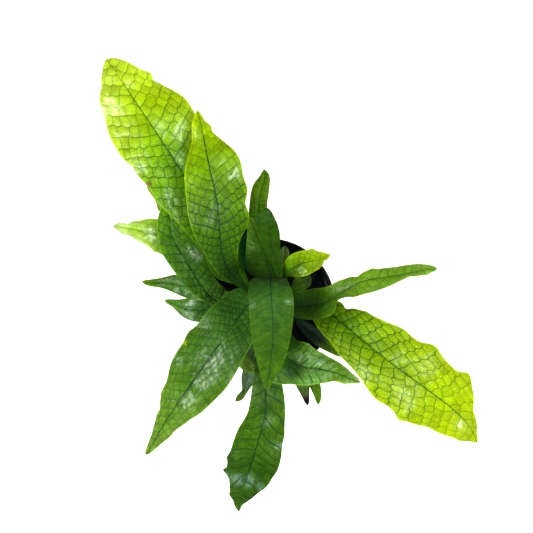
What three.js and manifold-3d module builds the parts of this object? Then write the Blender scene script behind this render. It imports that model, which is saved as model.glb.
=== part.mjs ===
// Potted crocodile fern, in millimetres.
// +Z is up, +Y is the way the tall fronds lean, and the origin is the centre of the pot's
// flat underside.
import * as THREE from "three";
import { mergeVertices } from "three/addons/utils/BufferGeometryUtils.js";
import Module from "manifold-3d";

const wasm = await Module();
wasm.setup();

// Pot: a thin-walled grower's pot with a deep rolled rim
const POT_HEIGHT = 105;
const RIM_RADIUS = 60;
const RIM_DEPTH = 13;
const RIM_STEP = 3.4;
const BASE_RADIUS = 42;
const WALL = 1.3;
const BASE_THICKNESS = 2.5;
const POT_SIDES = 32;
const DRAIN_HOLES = 6;
const DRAIN_RADIUS = 4;
const DRAIN_RING = 30;
const DRAIN_SIDES = 8;

// Soil: fills the pot to below the rim, a little higher in the middle
const SOIL_EDGE_HEIGHT = 88;
const SOIL_HEIGHT = 93;
const SOIL_FLAT_RADIUS = 30;
const SOIL_LUMP = 0.9;
const SEAT_GAP = 0.35;
const WALL_GAP = 0.5;

// Rhizome: the creeping stem that the fronds grow from, lying on the soil
const RHIZOME_RADIUS = 5.4;
const RHIZOME_FLATNESS = 0.72;
const RHIZOME_SIDES = 7;
const RHIZOME_STEP = 7.5;

// Stems and blades
const STEM_HALF_WIDTH = 1.6;
const STEM_THICKNESS = 2.6;
const STEM_STEP = 11;
const BLADE_THICKNESS = 0.9;
const KEEL_DEPTH = 0.8;
const TIP_ROUNDING = 5;
const VEIN_SLANT = 0.55;

// Each stem stands straight up in its hole as far as its neck
const ROOT_BOTTOM = 82;
const ROOT_NECK = 97.5;
const ROOT_TOP = 102;
const HOLE_RADIUS = 2.6;
const HOLE_BOTTOM = 81.4;
const HOLE_SIDES = 6;

// Shares of a frond's length over which its halves unfold, its net rises and its stem
// thins out into the blade, and over which its heading is measured
const UNFOLDING = 0.15;
const NET_ONSET = 0.12;
const STEM_FADING = 0.2;
const HEADING_REACH = 0.2;

// The margin's waves: how they grow towards the margin, how far the right half's lag
// behind the left half's, and the half width from which they have their full height
const RIPPLE_POWER = 1.6;
const RIPPLE_LAG = 0.37;
const RIPPLE_HALF_WIDTH = 12;

const YOUNG = { color: 0x8fb51a, roughness: 0.42 };
const MATURE = { color: 0x4f8a1f, roughness: 0.4 };
const OLD = { color: 0x2c5a14, roughness: 0.45 };

// The fronds. root is where the stem stands in the soil, [x, y]. Each row of blade is a
// point of the midrib and the half widths there, [x, y, z, left, right], looking from
// the root to the tip. columns counts the mesh columns of one half and step is the
// length of a mesh row. net is the height of the raised cells between the veins. fold is
// how far the halves rise, in degrees, at the base and at the tip, and curl bends them
// down towards the margins. ripple is the height, length and start of the margin's waves,
// and frills are single bays and bulges of the outline: [half, place, reach, outward],
// where half is -1 or 1 as for across and place and reach are shares of the length.
// heading is given where a blade arches back over its own stem, and turn where the right
// half is turned down on a short stretch: its place, its reach and its angle.
const FRONDS = [
  {
    name: "frond_northwest_long", leaf: YOUNG, root: [-15, 15], columns: 5, step: 8, net: 1.3,
    fold: [26, 8], curl: -14, ripple: [2.6, 62, 0.4],
    frills: [[-1, 0.56, 0.05, 3.5], [-1, 0.69, 0.02, -1.5], [-1, 0.8, 0.05, 2.5],
      [-1, 0.93, 0.022, -2.5], [-1, 0.98, 0.02, 1.2], [1, 0.79, 0.05, 2], [1, 0.868, 0.01, -1.2],
      [1, 0.893, 0.014, 2.6], [-1, 0.72, 0.15, 0.6]],
    blade: [
      [-20, 19, 130, 3, 3], [-29, 35, 148, 19, 6.5], [-38, 53, 162, 21, 11], [-47, 72, 174, 24, 21],
      [-72, 113, 191, 29, 30], [-95, 148, 196, 35, 35], [-118, 182, 190, 26.5, 23],
      [-129, 199, 185, 15, 12], [-137, 209, 181, 4, 4],
    ],
  },
  {
    name: "frond_northwest_strip", leaf: YOUNG, root: [-20, 23], columns: 2, step: 7, net: 0.8,
    fold: [20, 5], curl: -10, ripple: [0.8, 40, 1.2],
    frills: [[-1, 0.77, 0.03, 3.2], [-1, 0.9, 0.03, 1.6]],
    blade: [
      [-28, 29, 110, 2, 2], [-47, 43, 123, 6, 6], [-68, 62, 132, 9, 9], [-85, 87, 138, 8.5, 9],
      [-96, 104, 139, 9, 8], [-104, 116, 138, 4.5, 4.5], [-108, 121, 136, 2, 2],
    ],
  },
  {
    name: "frond_north_broad", leaf: MATURE, root: [-5, 8], columns: 4, step: 7.8, net: 1.2,
    fold: [30, 6], curl: -16, ripple: [1.8, 48, 2.4],
    frills: [[1, 0.6, 0.04, 2], [1, 0.71, 0.03, 2], [1, 0.875, 0.025, -1.8],
      [1, 0.94, 0.013, 3.2], [1, 0.676, 0.022, -2.6]],
    blade: [
      [-20, 16, 150, 2, 2], [-32, 30, 175, 7.5, 7], [-39, 45, 194, 14, 13.5],
      [-41, 73, 213, 23.5, 23.5], [-43, 91, 218, 25.5, 25], [-48, 113, 219, 21, 26],
      [-52, 133, 215, 14.5, 18.5], [-55, 148, 210, 8, 5.5], [-59, 163, 205, 1.8, 1.8],
    ],
  },
  {
    name: "frond_west_curved", leaf: MATURE, root: [-18, 2], columns: 3, step: 7.4, net: 1,
    fold: [26, 8], curl: -12, ripple: [1.2, 36, 0],
    blade: [
      [-29, 3, 117, 3, 5], [-46, 4, 124, 4.5, 13], [-57, 15, 135, 9.5, 13], [-68, 33, 145, 13, 16],
      [-77, 48, 150, 14.5, 18], [-84, 62, 152, 12.5, 17], [-86, 77, 152, 11, 14.5],
      [-88, 87, 150, 6, 7], [-89, 93, 148, 1.8, 1.8],
    ],
  },
  {
    name: "frond_west_young", leaf: YOUNG, root: [-25, 10], columns: 3, step: 7.4, net: 0.9,
    fold: [22, 6], curl: -12, ripple: [0.9, 34, 0.8],
    frills: [[-1, 0.58, 0.03, 3], [-1, 0.7, 0.02, 1.2], [-1, 0.93, 0.03, 1.8],
      [1, 0.8, 0.03, 1.2], [1, 0.91, 0.015, -1.6]],
    blade: [
      [-38, 12, 105, 2, 2], [-54, 26, 110, 4, 4], [-79, 51, 118, 13, 13], [-99, 63, 121, 14, 14],
      [-112, 66, 120, 10, 10.5], [-126, 69, 116, 6, 6], [-140, 71, 109, 1.8, 1.8],
    ],
  },
  {
    name: "frond_west_low", leaf: MATURE, root: [-27, 3], columns: 2, step: 7, net: 0.7,
    fold: [24, 6], curl: -10, ripple: [0.6, 30, 2],
    blade: [
      [-39, 5, 107, 2, 2], [-55, 11, 116, 7.5, 7], [-70, 16, 120, 10, 10], [-84, 19, 119, 7.5, 8.5],
      [-96, 20, 115, 4.5, 4.5], [-106, 20, 111, 3, 3], [-114, 21, 107, 1.6, 1.6],
    ],
  },
  {
    name: "frond_west_short", leaf: MATURE, root: [-22, -5], columns: 2, step: 7, net: 0.7,
    fold: [24, 6], curl: -10, ripple: [0.6, 28, 0.5],
    frills: [[-1, 0.9, 0.06, -1.6]],
    blade: [
      [-33, -4, 104, 2, 2], [-46, -5, 109, 6.5, 6.5], [-59, -5, 113, 10, 10], [-71, -3, 113, 10, 10],
      [-83, 0, 109, 5.5, 5.5], [-94, 4, 103, 1.6, 1.6],
    ],
  },
  {
    name: "frond_southwest_broad", leaf: MATURE, root: [-9, 0], columns: 4, step: 7.8, net: 1.2,
    fold: [28, 8], curl: -16, ripple: [1.5, 52, 1.1],
    frills: [[1, 0.49, 0.03, 2.6], [1, 0.73, 0.03, 2.6], [1, 0.785, 0.012, -1.2],
      [-1, 0.74, 0.03, -1.6], [-1, 0.87, 0.03, 1.2], [1, 0.7, 0.25, 0.6], [-1, 0.59, 0.08, 0.8]],
    blade: [
      [-13, 6, 134, 3, 12.5], [-20, -1, 147, 11, 20], [-28, -12, 157, 20, 23], [-38, -26, 164, 24, 25.5],
      [-59, -55, 167, 25.5, 25.5], [-72, -74, 162, 22.5, 19.5], [-86, -94, 151, 14.5, 10.5],
      [-98, -114, 138, 8, 5.5], [-109, -132, 124, 1.8, 1.8],
    ],
  },
  {
    name: "frond_centre_arched", leaf: MATURE, root: [1, 0], columns: 3, step: 8, net: 0.5,
    heading: [0, -1], fold: [24, 4], curl: -14, ripple: [0.8, 58, 0.6],
    blade: [
      [1, 5, 130, 3, 3], [1, 15, 165, 7, 7], [1, 23, 200, 11.5, 12.5], [1, 25, 222, 14, 16],
      [1, 20, 237, 15.5, 18], [2, 8, 243, 17.5, 18.5], [3, -20, 234, 15.5, 17.5],
      [2, -37, 222, 12, 14], [0, -53, 207, 7.5, 7.5], [-2, -68, 190, 1.8, 1.8],
    ],
  },
  {
    name: "frond_south_long", leaf: MATURE, root: [0, -12], columns: 4, step: 7.8, net: 1,
    fold: [24, 8], curl: -12, ripple: [1.6, 44, 0.2],
    frills: [[-1, 0.55, 0.03, 1.4], [-1, 0.79, 0.05, -2.4], [-1, 0.96, 0.03, -1.6],
      [1, 0.5, 0.05, -1], [1, 0.715, 0.025, 1.8], [1, 0.795, 0.012, 4.2], [1, 0.9, 0.035, 3],
      [1, 0.29, 0.05, 4.5], [-1, 0.85, 0.02, -1], [1, 0.96, 0.03, 1.4]],
    blade: [
      [-1, -19, 115, 2, 2], [-2, -35, 128, 4.5, 4.5], [-3, -52, 136, 10.5, 6], [-3, -69, 140, 15, 11.5],
      [-3, -93, 138, 17.5, 16], [-9, -118, 129, 21.5, 21], [-15, -140, 116, 25, 21.5],
      [-19, -154, 101, 24, 20], [-22, -164, 96, 18, 12], [-26, -179, 80, 6, 5],
      [-28, -193, 68, 1.8, 1.8],
    ],
  },
  {
    name: "frond_southeast_pointed", leaf: MATURE, root: [8, -9], columns: 3, step: 7.4, net: 0.8,
    fold: [24, 8], curl: -12, ripple: [1, 36, 0.9],
    frills: [[1, 0.78, 0.05, 1.8], [1, 0.88, 0.04, 1.5], [1, 0.54, 0.05, 5.5]],
    blade: [
      [7, -24, 134, 11, 6], [13, -41, 148, 17, 20], [28, -51, 155, 20, 17], [44, -54, 155, 14.5, 12.5],
      [57, -57, 151, 9.5, 7], [71, -63, 142, 5, 4.5], [80, -67, 134, 1.8, 1.8],
    ],
  },
  {
    name: "frond_southeast_broad", leaf: YOUNG, root: [18, 2], columns: 5, step: 8, net: 1.3,
    fold: [26, 8], curl: -14, ripple: [2.2, 56, 2.2],
    frills: [[-1, 0.362, 0.012, -3.6], [-1, 0.415, 0.02, 1.5], [-1, 0.54, 0.035, 2.2],
      [-1, 0.65, 0.03, 4.4], [-1, 0.8, 0.025, 6], [-1, 0.88, 0.022, -3.8], [-1, 0.94, 0.015, 1.2],
      [1, 0.44, 0.04, 2.4], [1, 0.6, 0.035, 2.8], [1, 0.695, 0.018, 3], [1, 0.86, 0.05, 2.2],
      [1, 0.95, 0.02, 2.6]],
    blade: [
      [21, 6, 128, 2.5, 2.5], [37, 2, 146, 7, 8], [54, -7, 160, 13.5, 16.5], [76, -25, 172, 22, 21],
      [102, -46, 178, 28.5, 28.5], [132, -68, 173, 29, 32], [157, -87, 160, 25, 25],
      [175, -105, 146, 7, 15], [183, -120, 134, 1.8, 1.8],
    ],
  },
  {
    name: "frond_east_narrow", leaf: MATURE, root: [10, 4], columns: 3, step: 8.4, net: 0.6,
    fold: [24, 8], curl: -12, ripple: [1, 46, 1.6], turn: { at: 0.6, reach: 0.055, angle: -70 },
    frills: [[-1, 0.62, 0.02, 1], [-1, 0.68, 0.014, -2.4], [-1, 0.73, 0.014, 1.4],
      [-1, 0.9, 0.08, 1.3], [1, 0.572, 0.022, -6.5], [1, 0.63, 0.02, 1], [1, 0.75, 0.03, -0.9],
      [1, 0.87, 0.02, -1], [1, 0.95, 0.02, 1.2]],
    blade: [
      [12, 2, 150, 5, 5], [23, 1, 172, 12, 9.5], [38, 3, 188, 13.5, 12.5], [50, 6, 198, 12.5, 12],
      [63, 15, 204, 9, 9], [75, 22, 206, 7.5, 10.5], [90, 25, 204, 7.5, 10.5],
      [109, 28, 196, 6.5, 5], [126, 31, 186, 5, 4], [142, 33, 176, 1.8, 1.8],
    ],
  },
  {
    name: "frond_northeast_young", leaf: YOUNG, root: [16, 16], columns: 2, step: 6, net: 0.6,
    fold: [26, 10], curl: -10, ripple: [0.7, 26, 0.4],
    frills: [[-1, 0.86, 0.04, 2.4], [1, 0.93, 0.02, -1.8]],
    blade: [
      [15, 27, 122, 2.5, 2.5], [22, 34, 135, 10, 9], [31, 38, 143, 11, 11.5], [41, 40, 147, 8.5, 8],
      [49, 43, 149, 4.5, 3.5], [53, 45, 150, 1.6, 1.6],
    ],
  },
  {
    name: "frond_northeast_small", leaf: OLD, root: [10, 23], columns: 2, step: 6, net: 0.4,
    fold: [20, 8], curl: -10, ripple: [0.3, 22, 0.4],
    blade: [[12, 29, 106, 2, 2], [13, 36, 111, 4, 4], [14, 44, 115, 4.5, 4.5], [14, 53, 116, 3, 3]],
  },
  {
    name: "frond_north_low", leaf: OLD, root: [-2, 20], columns: 2, step: 7, net: 0.6,
    fold: [24, 8], curl: -10, ripple: [0.7, 34, 1.9],
    blade: [
      [-1, 33, 120, 2, 2], [-4, 54, 134, 6, 6], [-9, 73, 146, 8, 8], [-9, 88, 150, 8, 7.5],
      [-7, 102, 151, 7.5, 7.5], [-4, 112, 149, 4.5, 5], [-4, 119, 147, 1.6, 1.6],
    ],
  },
  {
    name: "frond_north_upright", leaf: OLD, root: [7, 14], columns: 2, step: 7, net: 0.5,
    fold: [26, 8], curl: -12, ripple: [0.6, 36, 0.7],
    blade: [
      [9, 24, 150, 2, 2], [7, 37, 172, 4, 4], [3, 49, 188, 6.5, 6.5], [1, 61, 198, 9, 8],
      [-2, 71, 204, 10.5, 8], [-2, 83, 206, 3, 3],
    ],
  },
  {
    name: "frond_north_inner", leaf: OLD, root: [1, 13], columns: 3, step: 7.4, net: 0.6,
    fold: [20, 6], curl: -12, ripple: [0.7, 34, 0.1],
    frills: [[-1, 0.55, 0.12, 2]],
    blade: [
      [3, 20, 128, 4, 3], [-1, 36, 150, 16, 7], [-5, 49, 162, 16, 7], [-10, 60, 169, 10, 6],
      [-14, 69, 173, 5, 4], [-17, 77, 175, 1.8, 1.8],
    ],
  },
  {
    name: "frond_north_shaded", leaf: OLD, root: [-9, 20], columns: 2, step: 7.5, net: 0.4,
    fold: [22, 8], curl: -10, ripple: [0.4, 24, 0.9],
    blade: [
      [-12, 25, 107, 2, 2], [-17, 36, 115, 5.5, 6], [-21, 48, 120, 6, 7], [-23.5, 62, 123, 4.5, 6.5],
      [-23, 72, 123, 4, 4], [-23, 79, 121, 1.6, 1.6],
    ],
  },
  {
    name: "frond_east_blunt", leaf: OLD, root: [20, 9], columns: 2, step: 5, net: 0.3,
    fold: [20, 6], curl: -10, ripple: [0.3, 22, 1.5],
    blade: [[23, 15, 106, 4, 4], [29, 20, 110, 7, 7], [34, 23, 111, 6.5, 6.5], [38, 25, 111, 4.5, 4.5]],
  },
  {
    name: "frond_southeast_shaded", leaf: OLD, root: [20, -6], columns: 2, step: 6.5, net: 0.4,
    fold: [22, 8], curl: -10, ripple: [0.4, 24, 0.3],
    blade: [
      [24, -11, 108, 2, 2], [32, -19, 114, 5, 5], [40, -26, 117, 6.5, 6.5], [50, -34, 116, 5.5, 5.5],
      [65, -46, 107, 1.6, 1.6],
    ],
  },
  {
    name: "frond_south_small", leaf: OLD, root: [8, -18], columns: 2, step: 6.5, net: 0.4,
    fold: [22, 8], curl: -10, ripple: [0.4, 24, 2.2],
    blade: [
      [16, -40, 116, 2, 2], [24, -57, 121, 5.5, 5.5], [30, -70, 118, 6, 6], [33, -81, 112, 3.5, 3.5],
      [35, -90, 106, 1.6, 1.6],
    ],
  },
  {
    name: "frond_south_sliver", leaf: OLD, root: [15, -13], columns: 2, step: 6.5, net: 0.4,
    fold: [22, 8], curl: -10, ripple: [0.4, 24, 1.1],
    blade: [
      [24, -38, 106, 2, 2], [33, -56, 110, 4.5, 4.5], [41, -71, 109, 5, 5], [44, -81, 105, 3.5, 3.5],
      [45, -90, 100, 1.6, 1.6],
    ],
  },
  {
    name: "frond_south_curled", leaf: OLD, root: [-7, -17], columns: 2, step: 7, net: 0.4,
    fold: [22, 10], curl: -20, ripple: [0.4, 24, 0.8],
    blade: [
      [-11, -28, 106, 2, 2], [-15, -43, 112, 3.5, 3.5], [-18, -58, 115, 7, 5.5],
      [-19.5, -68, 113, 6.5, 5.5], [-22, -77, 109, 3, 2.5], [-26, -83, 106, 3.2, 3],
      [-30, -87, 104, 1.6, 1.6],
    ],
  },
  {
    name: "frond_south_olive", leaf: OLD, root: [-13, -10], columns: 2, step: 6, net: 0.4,
    fold: [20, 6], curl: -10, ripple: [0.4, 24, 1.8],
    blade: [
      [-20, -20, 106, 2, 2], [-27, -33, 112, 4.5, 4.5], [-25, -45, 117, 6, 6],
      [-19, -54, 118, 5.5, 5.5], [-10, -60, 116, 1.6, 1.6],
    ],
  },
];

const radians = THREE.MathUtils.degToRad;
const mix = THREE.MathUtils.lerp;
const smooth = THREE.MathUtils.smoothstep;

// A closed mesh as a solid that can be joined and cut
function solidOf(geometry) {
  const bare = geometry.clone();
  bare.deleteAttribute("normal");
  bare.deleteAttribute("uv");
  const merged = mergeVertices(bare);
  const mesh = new wasm.Mesh({
    numProp: 3,
    vertProperties: new Float32Array(merged.attributes.position.array),
    triVerts: new Uint32Array(merged.index.array),
  });
  mesh.merge();
  return new wasm.Manifold(mesh);
}

// A joined or cut solid as a mesh again
function geometryOf(solid) {
  const mesh = solid.getMesh();
  const geometry = new THREE.BufferGeometry();
  geometry.setAttribute("position", new THREE.BufferAttribute(mesh.vertProperties, 3));
  geometry.setIndex(new THREE.BufferAttribute(mesh.triVerts, 1));
  return geometry;
}

function piece(name, geometry, look) {
  const material = new THREE.MeshStandardMaterial({ ...look, metalness: 0 });
  const mesh = new THREE.Mesh(geometry, material);
  mesh.name = name;
  return mesh;
}

// A profile of [radius, height] points turned about the vertical axis
function turned(profile, sides) {
  const points = profile.map(([radius, height]) => new THREE.Vector2(radius, height));
  return new THREE.LatheGeometry(points, sides).rotateX(Math.PI / 2);
}

function upright(radius, bottom, top, sides, x, y) {
  const shape = new THREE.CylinderGeometry(radius, radius, top - bottom, sides);
  return shape.rotateX(Math.PI / 2).translate(x, y, (bottom + top) / 2);
}

// The middle surface of one frond, from the buried end of its stem to its tip
class FrondSheet {
  constructor(frond) {
    const [x, y] = frond.root;
    const heights = [ROOT_BOTTOM, ROOT_NECK, ROOT_TOP];
    const stem = heights.map((z) => [x, y, z, STEM_HALF_WIDTH, STEM_HALF_WIDTH]);
    const rows = [...stem, ...frond.blade];
    const middle = rows.map((row) => new THREE.Vector3(row[0], row[1], row[2]));
    const widths = rows.map((row) => new THREE.Vector3(row[3], row[4], 0));
    this.frond = frond;
    this.rib = new THREE.CatmullRomCurve3(middle);
    this.halves = new THREE.CatmullRomCurve3(widths, false, "catmullrom", 0.5);
    this.length = this.rib.getLength();
    const lengths = this.rib.getLengths();
    const division = Math.round((stem.length / (rows.length - 1)) * (lengths.length - 1));
    this.bladeStart = lengths[division] / this.length;
  }

  // Half width at the share u of the length, rounded off at the tip
  halfWidth(u, side) {
    const halves = this.halves.getPoint(this.rib.getUtoTmapping(u));
    let frilled = side < 0 ? halves.x : halves.y;
    for (const [edge, place, reach, outward] of this.frond.frills || []) {
      if (edge * side > 0) {
        frilled += outward * Math.exp(-(((u - place) / reach) ** 2));
      }
    }
    const half = Math.max(frilled, STEM_HALF_WIDTH / 2);
    const past = (u - 1) * this.length / TIP_ROUNDING + 1;
    return past > 0 ? Math.max(half * Math.sqrt(Math.max(1 - past * past, 0)), 0.5) : half;
  }

  // Horizontal direction in which the blade runs near u, kept the same all along the stem
  heading(u) {
    if (this.frond.heading) {
      return new THREE.Vector3(...this.frond.heading, 0);
    }
    const place = Math.max(u, this.bladeStart);
    const ahead = this.rib.getPointAt(Math.min(place + HEADING_REACH, 1));
    const behind = this.rib.getPointAt(Math.max(place - HEADING_REACH, 0));
    return ahead.sub(behind).setZ(0).normalize();
  }

  // Point and upper normal at u along the rib and across it, from -1 (left) to 1 (right)
  at(u, across) {
    const { fold, curl, ripple, turn } = this.frond;
    const side = Math.sign(across);
    const share = Math.abs(across);
    const half = this.halfWidth(u, across);
    const along = this.rib.getTangentAt(u);
    const heading = this.heading(u);
    const sideways = new THREE.Vector3(heading.y, -heading.x, 0);
    const normal = sideways.clone().cross(along).normalize();
    sideways.crossVectors(along, normal);

    const inBlade = smooth(u, this.bladeStart, this.bladeStart + UNFOLDING);
    const blade = Math.max((u - this.bladeStart) / (1 - this.bladeStart), 0);
    let rise = radians(mix(fold[0], fold[1], Math.sqrt(blade))) * inBlade;
    if (turn && side > 0) {
      rise += radians(turn.angle) * Math.exp(-(((u - turn.at) / turn.reach) ** 2));
    }
    // Each half is an arc of a circle; the small term keeps a flat one off zero
    const bend = radians(2 * curl) * inBlade - 1e-4;
    const angle = rise + bend * share;
    const out = half * (Math.sin(angle) - Math.sin(rise)) / bend;
    const lift = half * (Math.cos(rise) - Math.cos(angle)) / bend;
    const [height, wave, start] = ripple;
    const swell = height * inBlade * share ** RIPPLE_POWER * Math.min(half / RIPPLE_HALF_WIDTH, 1)
      * Math.sin(2 * Math.PI * (u * this.length / wave + start + RIPPLE_LAG * side));

    const point = this.rib.getPointAt(u);
    point.addScaledVector(sideways, side * out).addScaledVector(normal, lift);
    const face = normal.clone().multiplyScalar(Math.cos(angle));
    face.addScaledVector(sideways, -side * Math.sin(angle));
    point.addScaledVector(face, swell);
    return { point, face };
  }

  thickness(u, across) {
    const stem = 1 - smooth(u, this.bladeStart, this.bladeStart + STEM_FADING);
    const round = STEM_THICKNESS * Math.sqrt(1 - 0.75 * across * across);
    return mix(BLADE_THICKNESS, round, stem);
  }
}

// Shares of the length at which a frond's mesh rows lie, longer ones on the bare stem
function rowPlaces(sheet, step) {
  const stemRows = Math.ceil(sheet.length * sheet.bladeStart / STEM_STEP);
  const bladeRows = Math.ceil(sheet.length * (1 - sheet.bladeStart) / step);
  const places = [];
  for (let i = 0; i < stemRows; i += 1) {
    places.push(sheet.bladeStart * i / stemRows);
  }
  for (let i = 0; i <= bladeRows; i += 1) {
    places.push(mix(sheet.bladeStart, 1, i / bladeRows));
  }
  return places;
}

// A frond as one closed solid. The upper and the under side share one pattern of
// triangles. Every second point is raised, so the blade swells into cells between a net
// of sunken veins, and the rows slant forward as the side veins do.
function frondGeometry(frond) {
  const sheet = new FrondSheet(frond);
  const places = rowPlaces(sheet, frond.step);
  const columns = 2 * frond.columns;
  const perRow = columns + 1;
  const upper = [];
  const under = [];
  places.forEach((place, i) => {
    for (let j = 0; j <= columns; j += 1) {
      const across = j / frond.columns - 1;
      const reach = Math.min(sheet.halfWidth(place, across), 0.7 * (1 - place) * sheet.length);
      const u = Math.min(place + VEIN_SLANT * Math.abs(across) * reach / sheet.length, 1);
      const { point, face } = sheet.at(u, across);
      const onset = smooth(u, sheet.bladeStart, sheet.bladeStart + NET_ONSET);
      const inBlade = onset * smooth(1 - u, 0.01, 0.06);
      const isRib = j === frond.columns;
      const isMargin = j === 0 || j === columns;
      const raised = (i + j) % 2 === 0 ? 0.5 : -0.5;
      const cell = isRib || isMargin ? -0.25 : raised;
      const half = sheet.thickness(u, across) / 2;
      const keel = isRib ? KEEL_DEPTH * mix(1, 0.3, u) * inBlade : 0;
      upper.push(point.clone().addScaledVector(face, frond.net * cell * inBlade + half));
      under.push(point.clone().addScaledVector(face, frond.net * cell * inBlade - half - keel));
    }
  });

  const triangles = [];
  const count = upper.length;
  const both = (a, b, c) => triangles.push(a, b, c, count + a, count + c, count + b);
  const wall = (a, b) => triangles.push(a, count + a, b, b, count + a, count + b);
  const lastRow = places.length - 1;
  for (let i = 0; i < lastRow; i += 1) {
    for (let j = 0; j < columns; j += 1) {
      const a = i * perRow + j;
      const b = a + 1;
      const c = a + perRow;
      const d = c + 1;
      if ((i + j) % 2 === 0) {
        both(a, b, c);
        both(b, d, c);
      } else {
        both(a, b, d);
        both(a, d, c);
      }
    }
    wall((i + 1) * perRow, i * perRow);
    wall(i * perRow + columns, (i + 1) * perRow + columns);
  }
  for (let j = 0; j < columns; j += 1) {
    wall(j, j + 1);
    wall(lastRow * perRow + j + 1, lastRow * perRow + j);
  }

  const geometry = new THREE.BufferGeometry().setFromPoints([...upper, ...under]);
  geometry.setIndex(triangles);
  return geometry;
}

// The rim: a band that stands out from the wall, with two fine beads along its lip
function rimProfile() {
  const band = RIM_RADIUS - 1;
  const bandBottom = POT_HEIGHT - RIM_DEPTH;
  const shoulder = RIM_RADIUS - RIM_STEP - WALL;
  return [
    [shoulder, bandBottom - 1.2],
    [band - 1, bandBottom],
    [RIM_RADIUS, POT_HEIGHT - 1.4],
    [RIM_RADIUS - 0.4, POT_HEIGHT - 0.3],
    [RIM_RADIUS - 1, POT_HEIGHT],
    [RIM_RADIUS - 1.5, POT_HEIGHT - 0.5],
    [RIM_RADIUS - 2, POT_HEIGHT],
    [RIM_RADIUS - 2.7, POT_HEIGHT - 0.5],
    [band - 1 - WALL, bandBottom + 1.2],
    [shoulder - WALL, bandBottom],
  ];
}

function potPiece() {
  const floorRadius = BASE_RADIUS - WALL;
  const profile = [
    [0, 0],
    [BASE_RADIUS - 1.2, 0],
    [BASE_RADIUS, 1.2],
    ...rimProfile(),
    [floorRadius, BASE_THICKNESS],
    [0, BASE_THICKNESS],
  ];
  let pot = solidOf(turned(profile, POT_SIDES));
  for (let i = 0; i < DRAIN_HOLES; i += 1) {
    const angle = 2 * Math.PI * (i + 0.5) / DRAIN_HOLES;
    const x = DRAIN_RING * Math.cos(angle);
    const y = DRAIN_RING * Math.sin(angle);
    pot = pot.subtract(solidOf(upright(DRAIN_RADIUS, -1, BASE_THICKNESS + 1, DRAIN_SIDES, x, y)));
  }
  return piece("pot", geometryOf(pot), { color: 0x0d0d0f, roughness: 0.35 });
}

// The holes that the stems stand in, through the rhizome and into the soil
function stemHoles() {
  return FRONDS.map(({ root: [x, y] }) =>
    solidOf(upright(HOLE_RADIUS, HOLE_BOTTOM, POT_HEIGHT, HOLE_SIDES, x, y)));
}

// Branches of the rhizome, through the places where the main stems stand
const RHIZOME_BRANCHES = [
  [[-25, 3], [-18, 2], [-9, 0], [1, 0], [10, 4], [18, 2], [24, -1]],
  [[-21, 18], [-15, 15], [-5, 8], [1, 0], [0, -12], [-7, -17], [-12, -21]],
  [[2, 20], [1, 13], [-1, 5], [8, -9], [18, -15]],
];

// One branch: a thick tube, flat below where it lies, that swells where its scales sit
function rhizomeBranch(points) {
  const lowest = SOIL_HEIGHT + SEAT_GAP;
  const path = new THREE.CatmullRomCurve3(points.map(([x, y]) => new THREE.Vector3(x, y, lowest)));
  const steps = Math.round(path.getLength() / RHIZOME_STEP);
  const ring = [];
  for (let i = 0; i < RHIZOME_SIDES; i += 1) {
    const angle = 2 * Math.PI * (i + 0.5) / RHIZOME_SIDES;
    ring.push(new THREE.Vector2(RHIZOME_RADIUS * Math.cos(angle), RHIZOME_RADIUS * Math.sin(angle)));
  }
  const section = new THREE.Shape(ring);
  const tube = new THREE.ExtrudeGeometry(section, { extrudePath: path, steps });
  const places = tube.attributes.position;
  for (let i = 0; i < places.count; i += 1) {
    const bump = 1 + 0.16 * Math.sin(1.3 * places.getX(i) + 0.7) * Math.cos(1.1 * places.getY(i));
    const height = RHIZOME_FLATNESS * bump * (places.getZ(i) - lowest);
    places.setZ(i, lowest + Math.max(height, 0));
  }
  return solidOf(tube);
}

// The branches joined, with a plain hole for each stem; scraps cut loose are dropped
function rhizomePiece(holes) {
  const branches = RHIZOME_BRANCHES.map(rhizomeBranch);
  const joined = branches.reduce((solid, branch) => solid.add(branch));
  const bored = holes.reduce((solid, hole) => solid.subtract(hole), joined);
  const [body] = bored.decompose().sort((a, b) => b.volume() - a.volume());
  return piece("rhizome", geometryOf(body), { color: 0x5a3a1c, roughness: 0.85 });
}

// Soil: shaped to the pot inside, lumpy on top outside the flat bed that the rhizome
// lies on, with a plain hole for each stem
function soilPiece(holes) {
  const wallAt = (height) => {
    const share = (height - BASE_THICKNESS) / (POT_HEIGHT - RIM_DEPTH - BASE_THICKNESS);
    return mix(BASE_RADIUS - WALL, RIM_RADIUS - RIM_STEP - 2 * WALL, share) - WALL_GAP;
  };
  const floor = BASE_THICKNESS + SEAT_GAP;
  const profile = [
    [0, floor],
    [wallAt(floor) - 0.2, floor],
    [wallAt(SOIL_EDGE_HEIGHT), SOIL_EDGE_HEIGHT],
    [47, 89],
    [41, 90.5],
    [35, 92],
    [SOIL_FLAT_RADIUS, SOIL_HEIGHT],
    [0, SOIL_HEIGHT],
  ];
  const shape = turned(profile, POT_SIDES);
  const places = shape.attributes.position;
  for (let i = 0; i < places.count; i += 1) {
    const [x, y, z] = [places.getX(i), places.getY(i), places.getZ(i)];
    if (z > SOIL_EDGE_HEIGHT + 0.1 && z < SOIL_HEIGHT - 0.1) {
      const lump = Math.sin(0.55 * x + 1) * Math.cos(0.6 * y) + 0.5 * Math.sin(0.9 * y);
      places.setZ(i, z + SOIL_LUMP * lump);
    }
  }
  const soil = holes.reduce((solid, hole) => solid.subtract(hole), solidOf(shape));
  return piece("soil", geometryOf(soil), { color: 0x1c130c, roughness: 0.95 });
}

const group = new THREE.Group();
const holes = stemHoles();
group.add(potPiece(), soilPiece(holes), rhizomePiece(holes));
for (const frond of FRONDS) {
  group.add(piece(frond.name, frondGeometry(frond), frond.leaf));
}

export default group;
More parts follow.
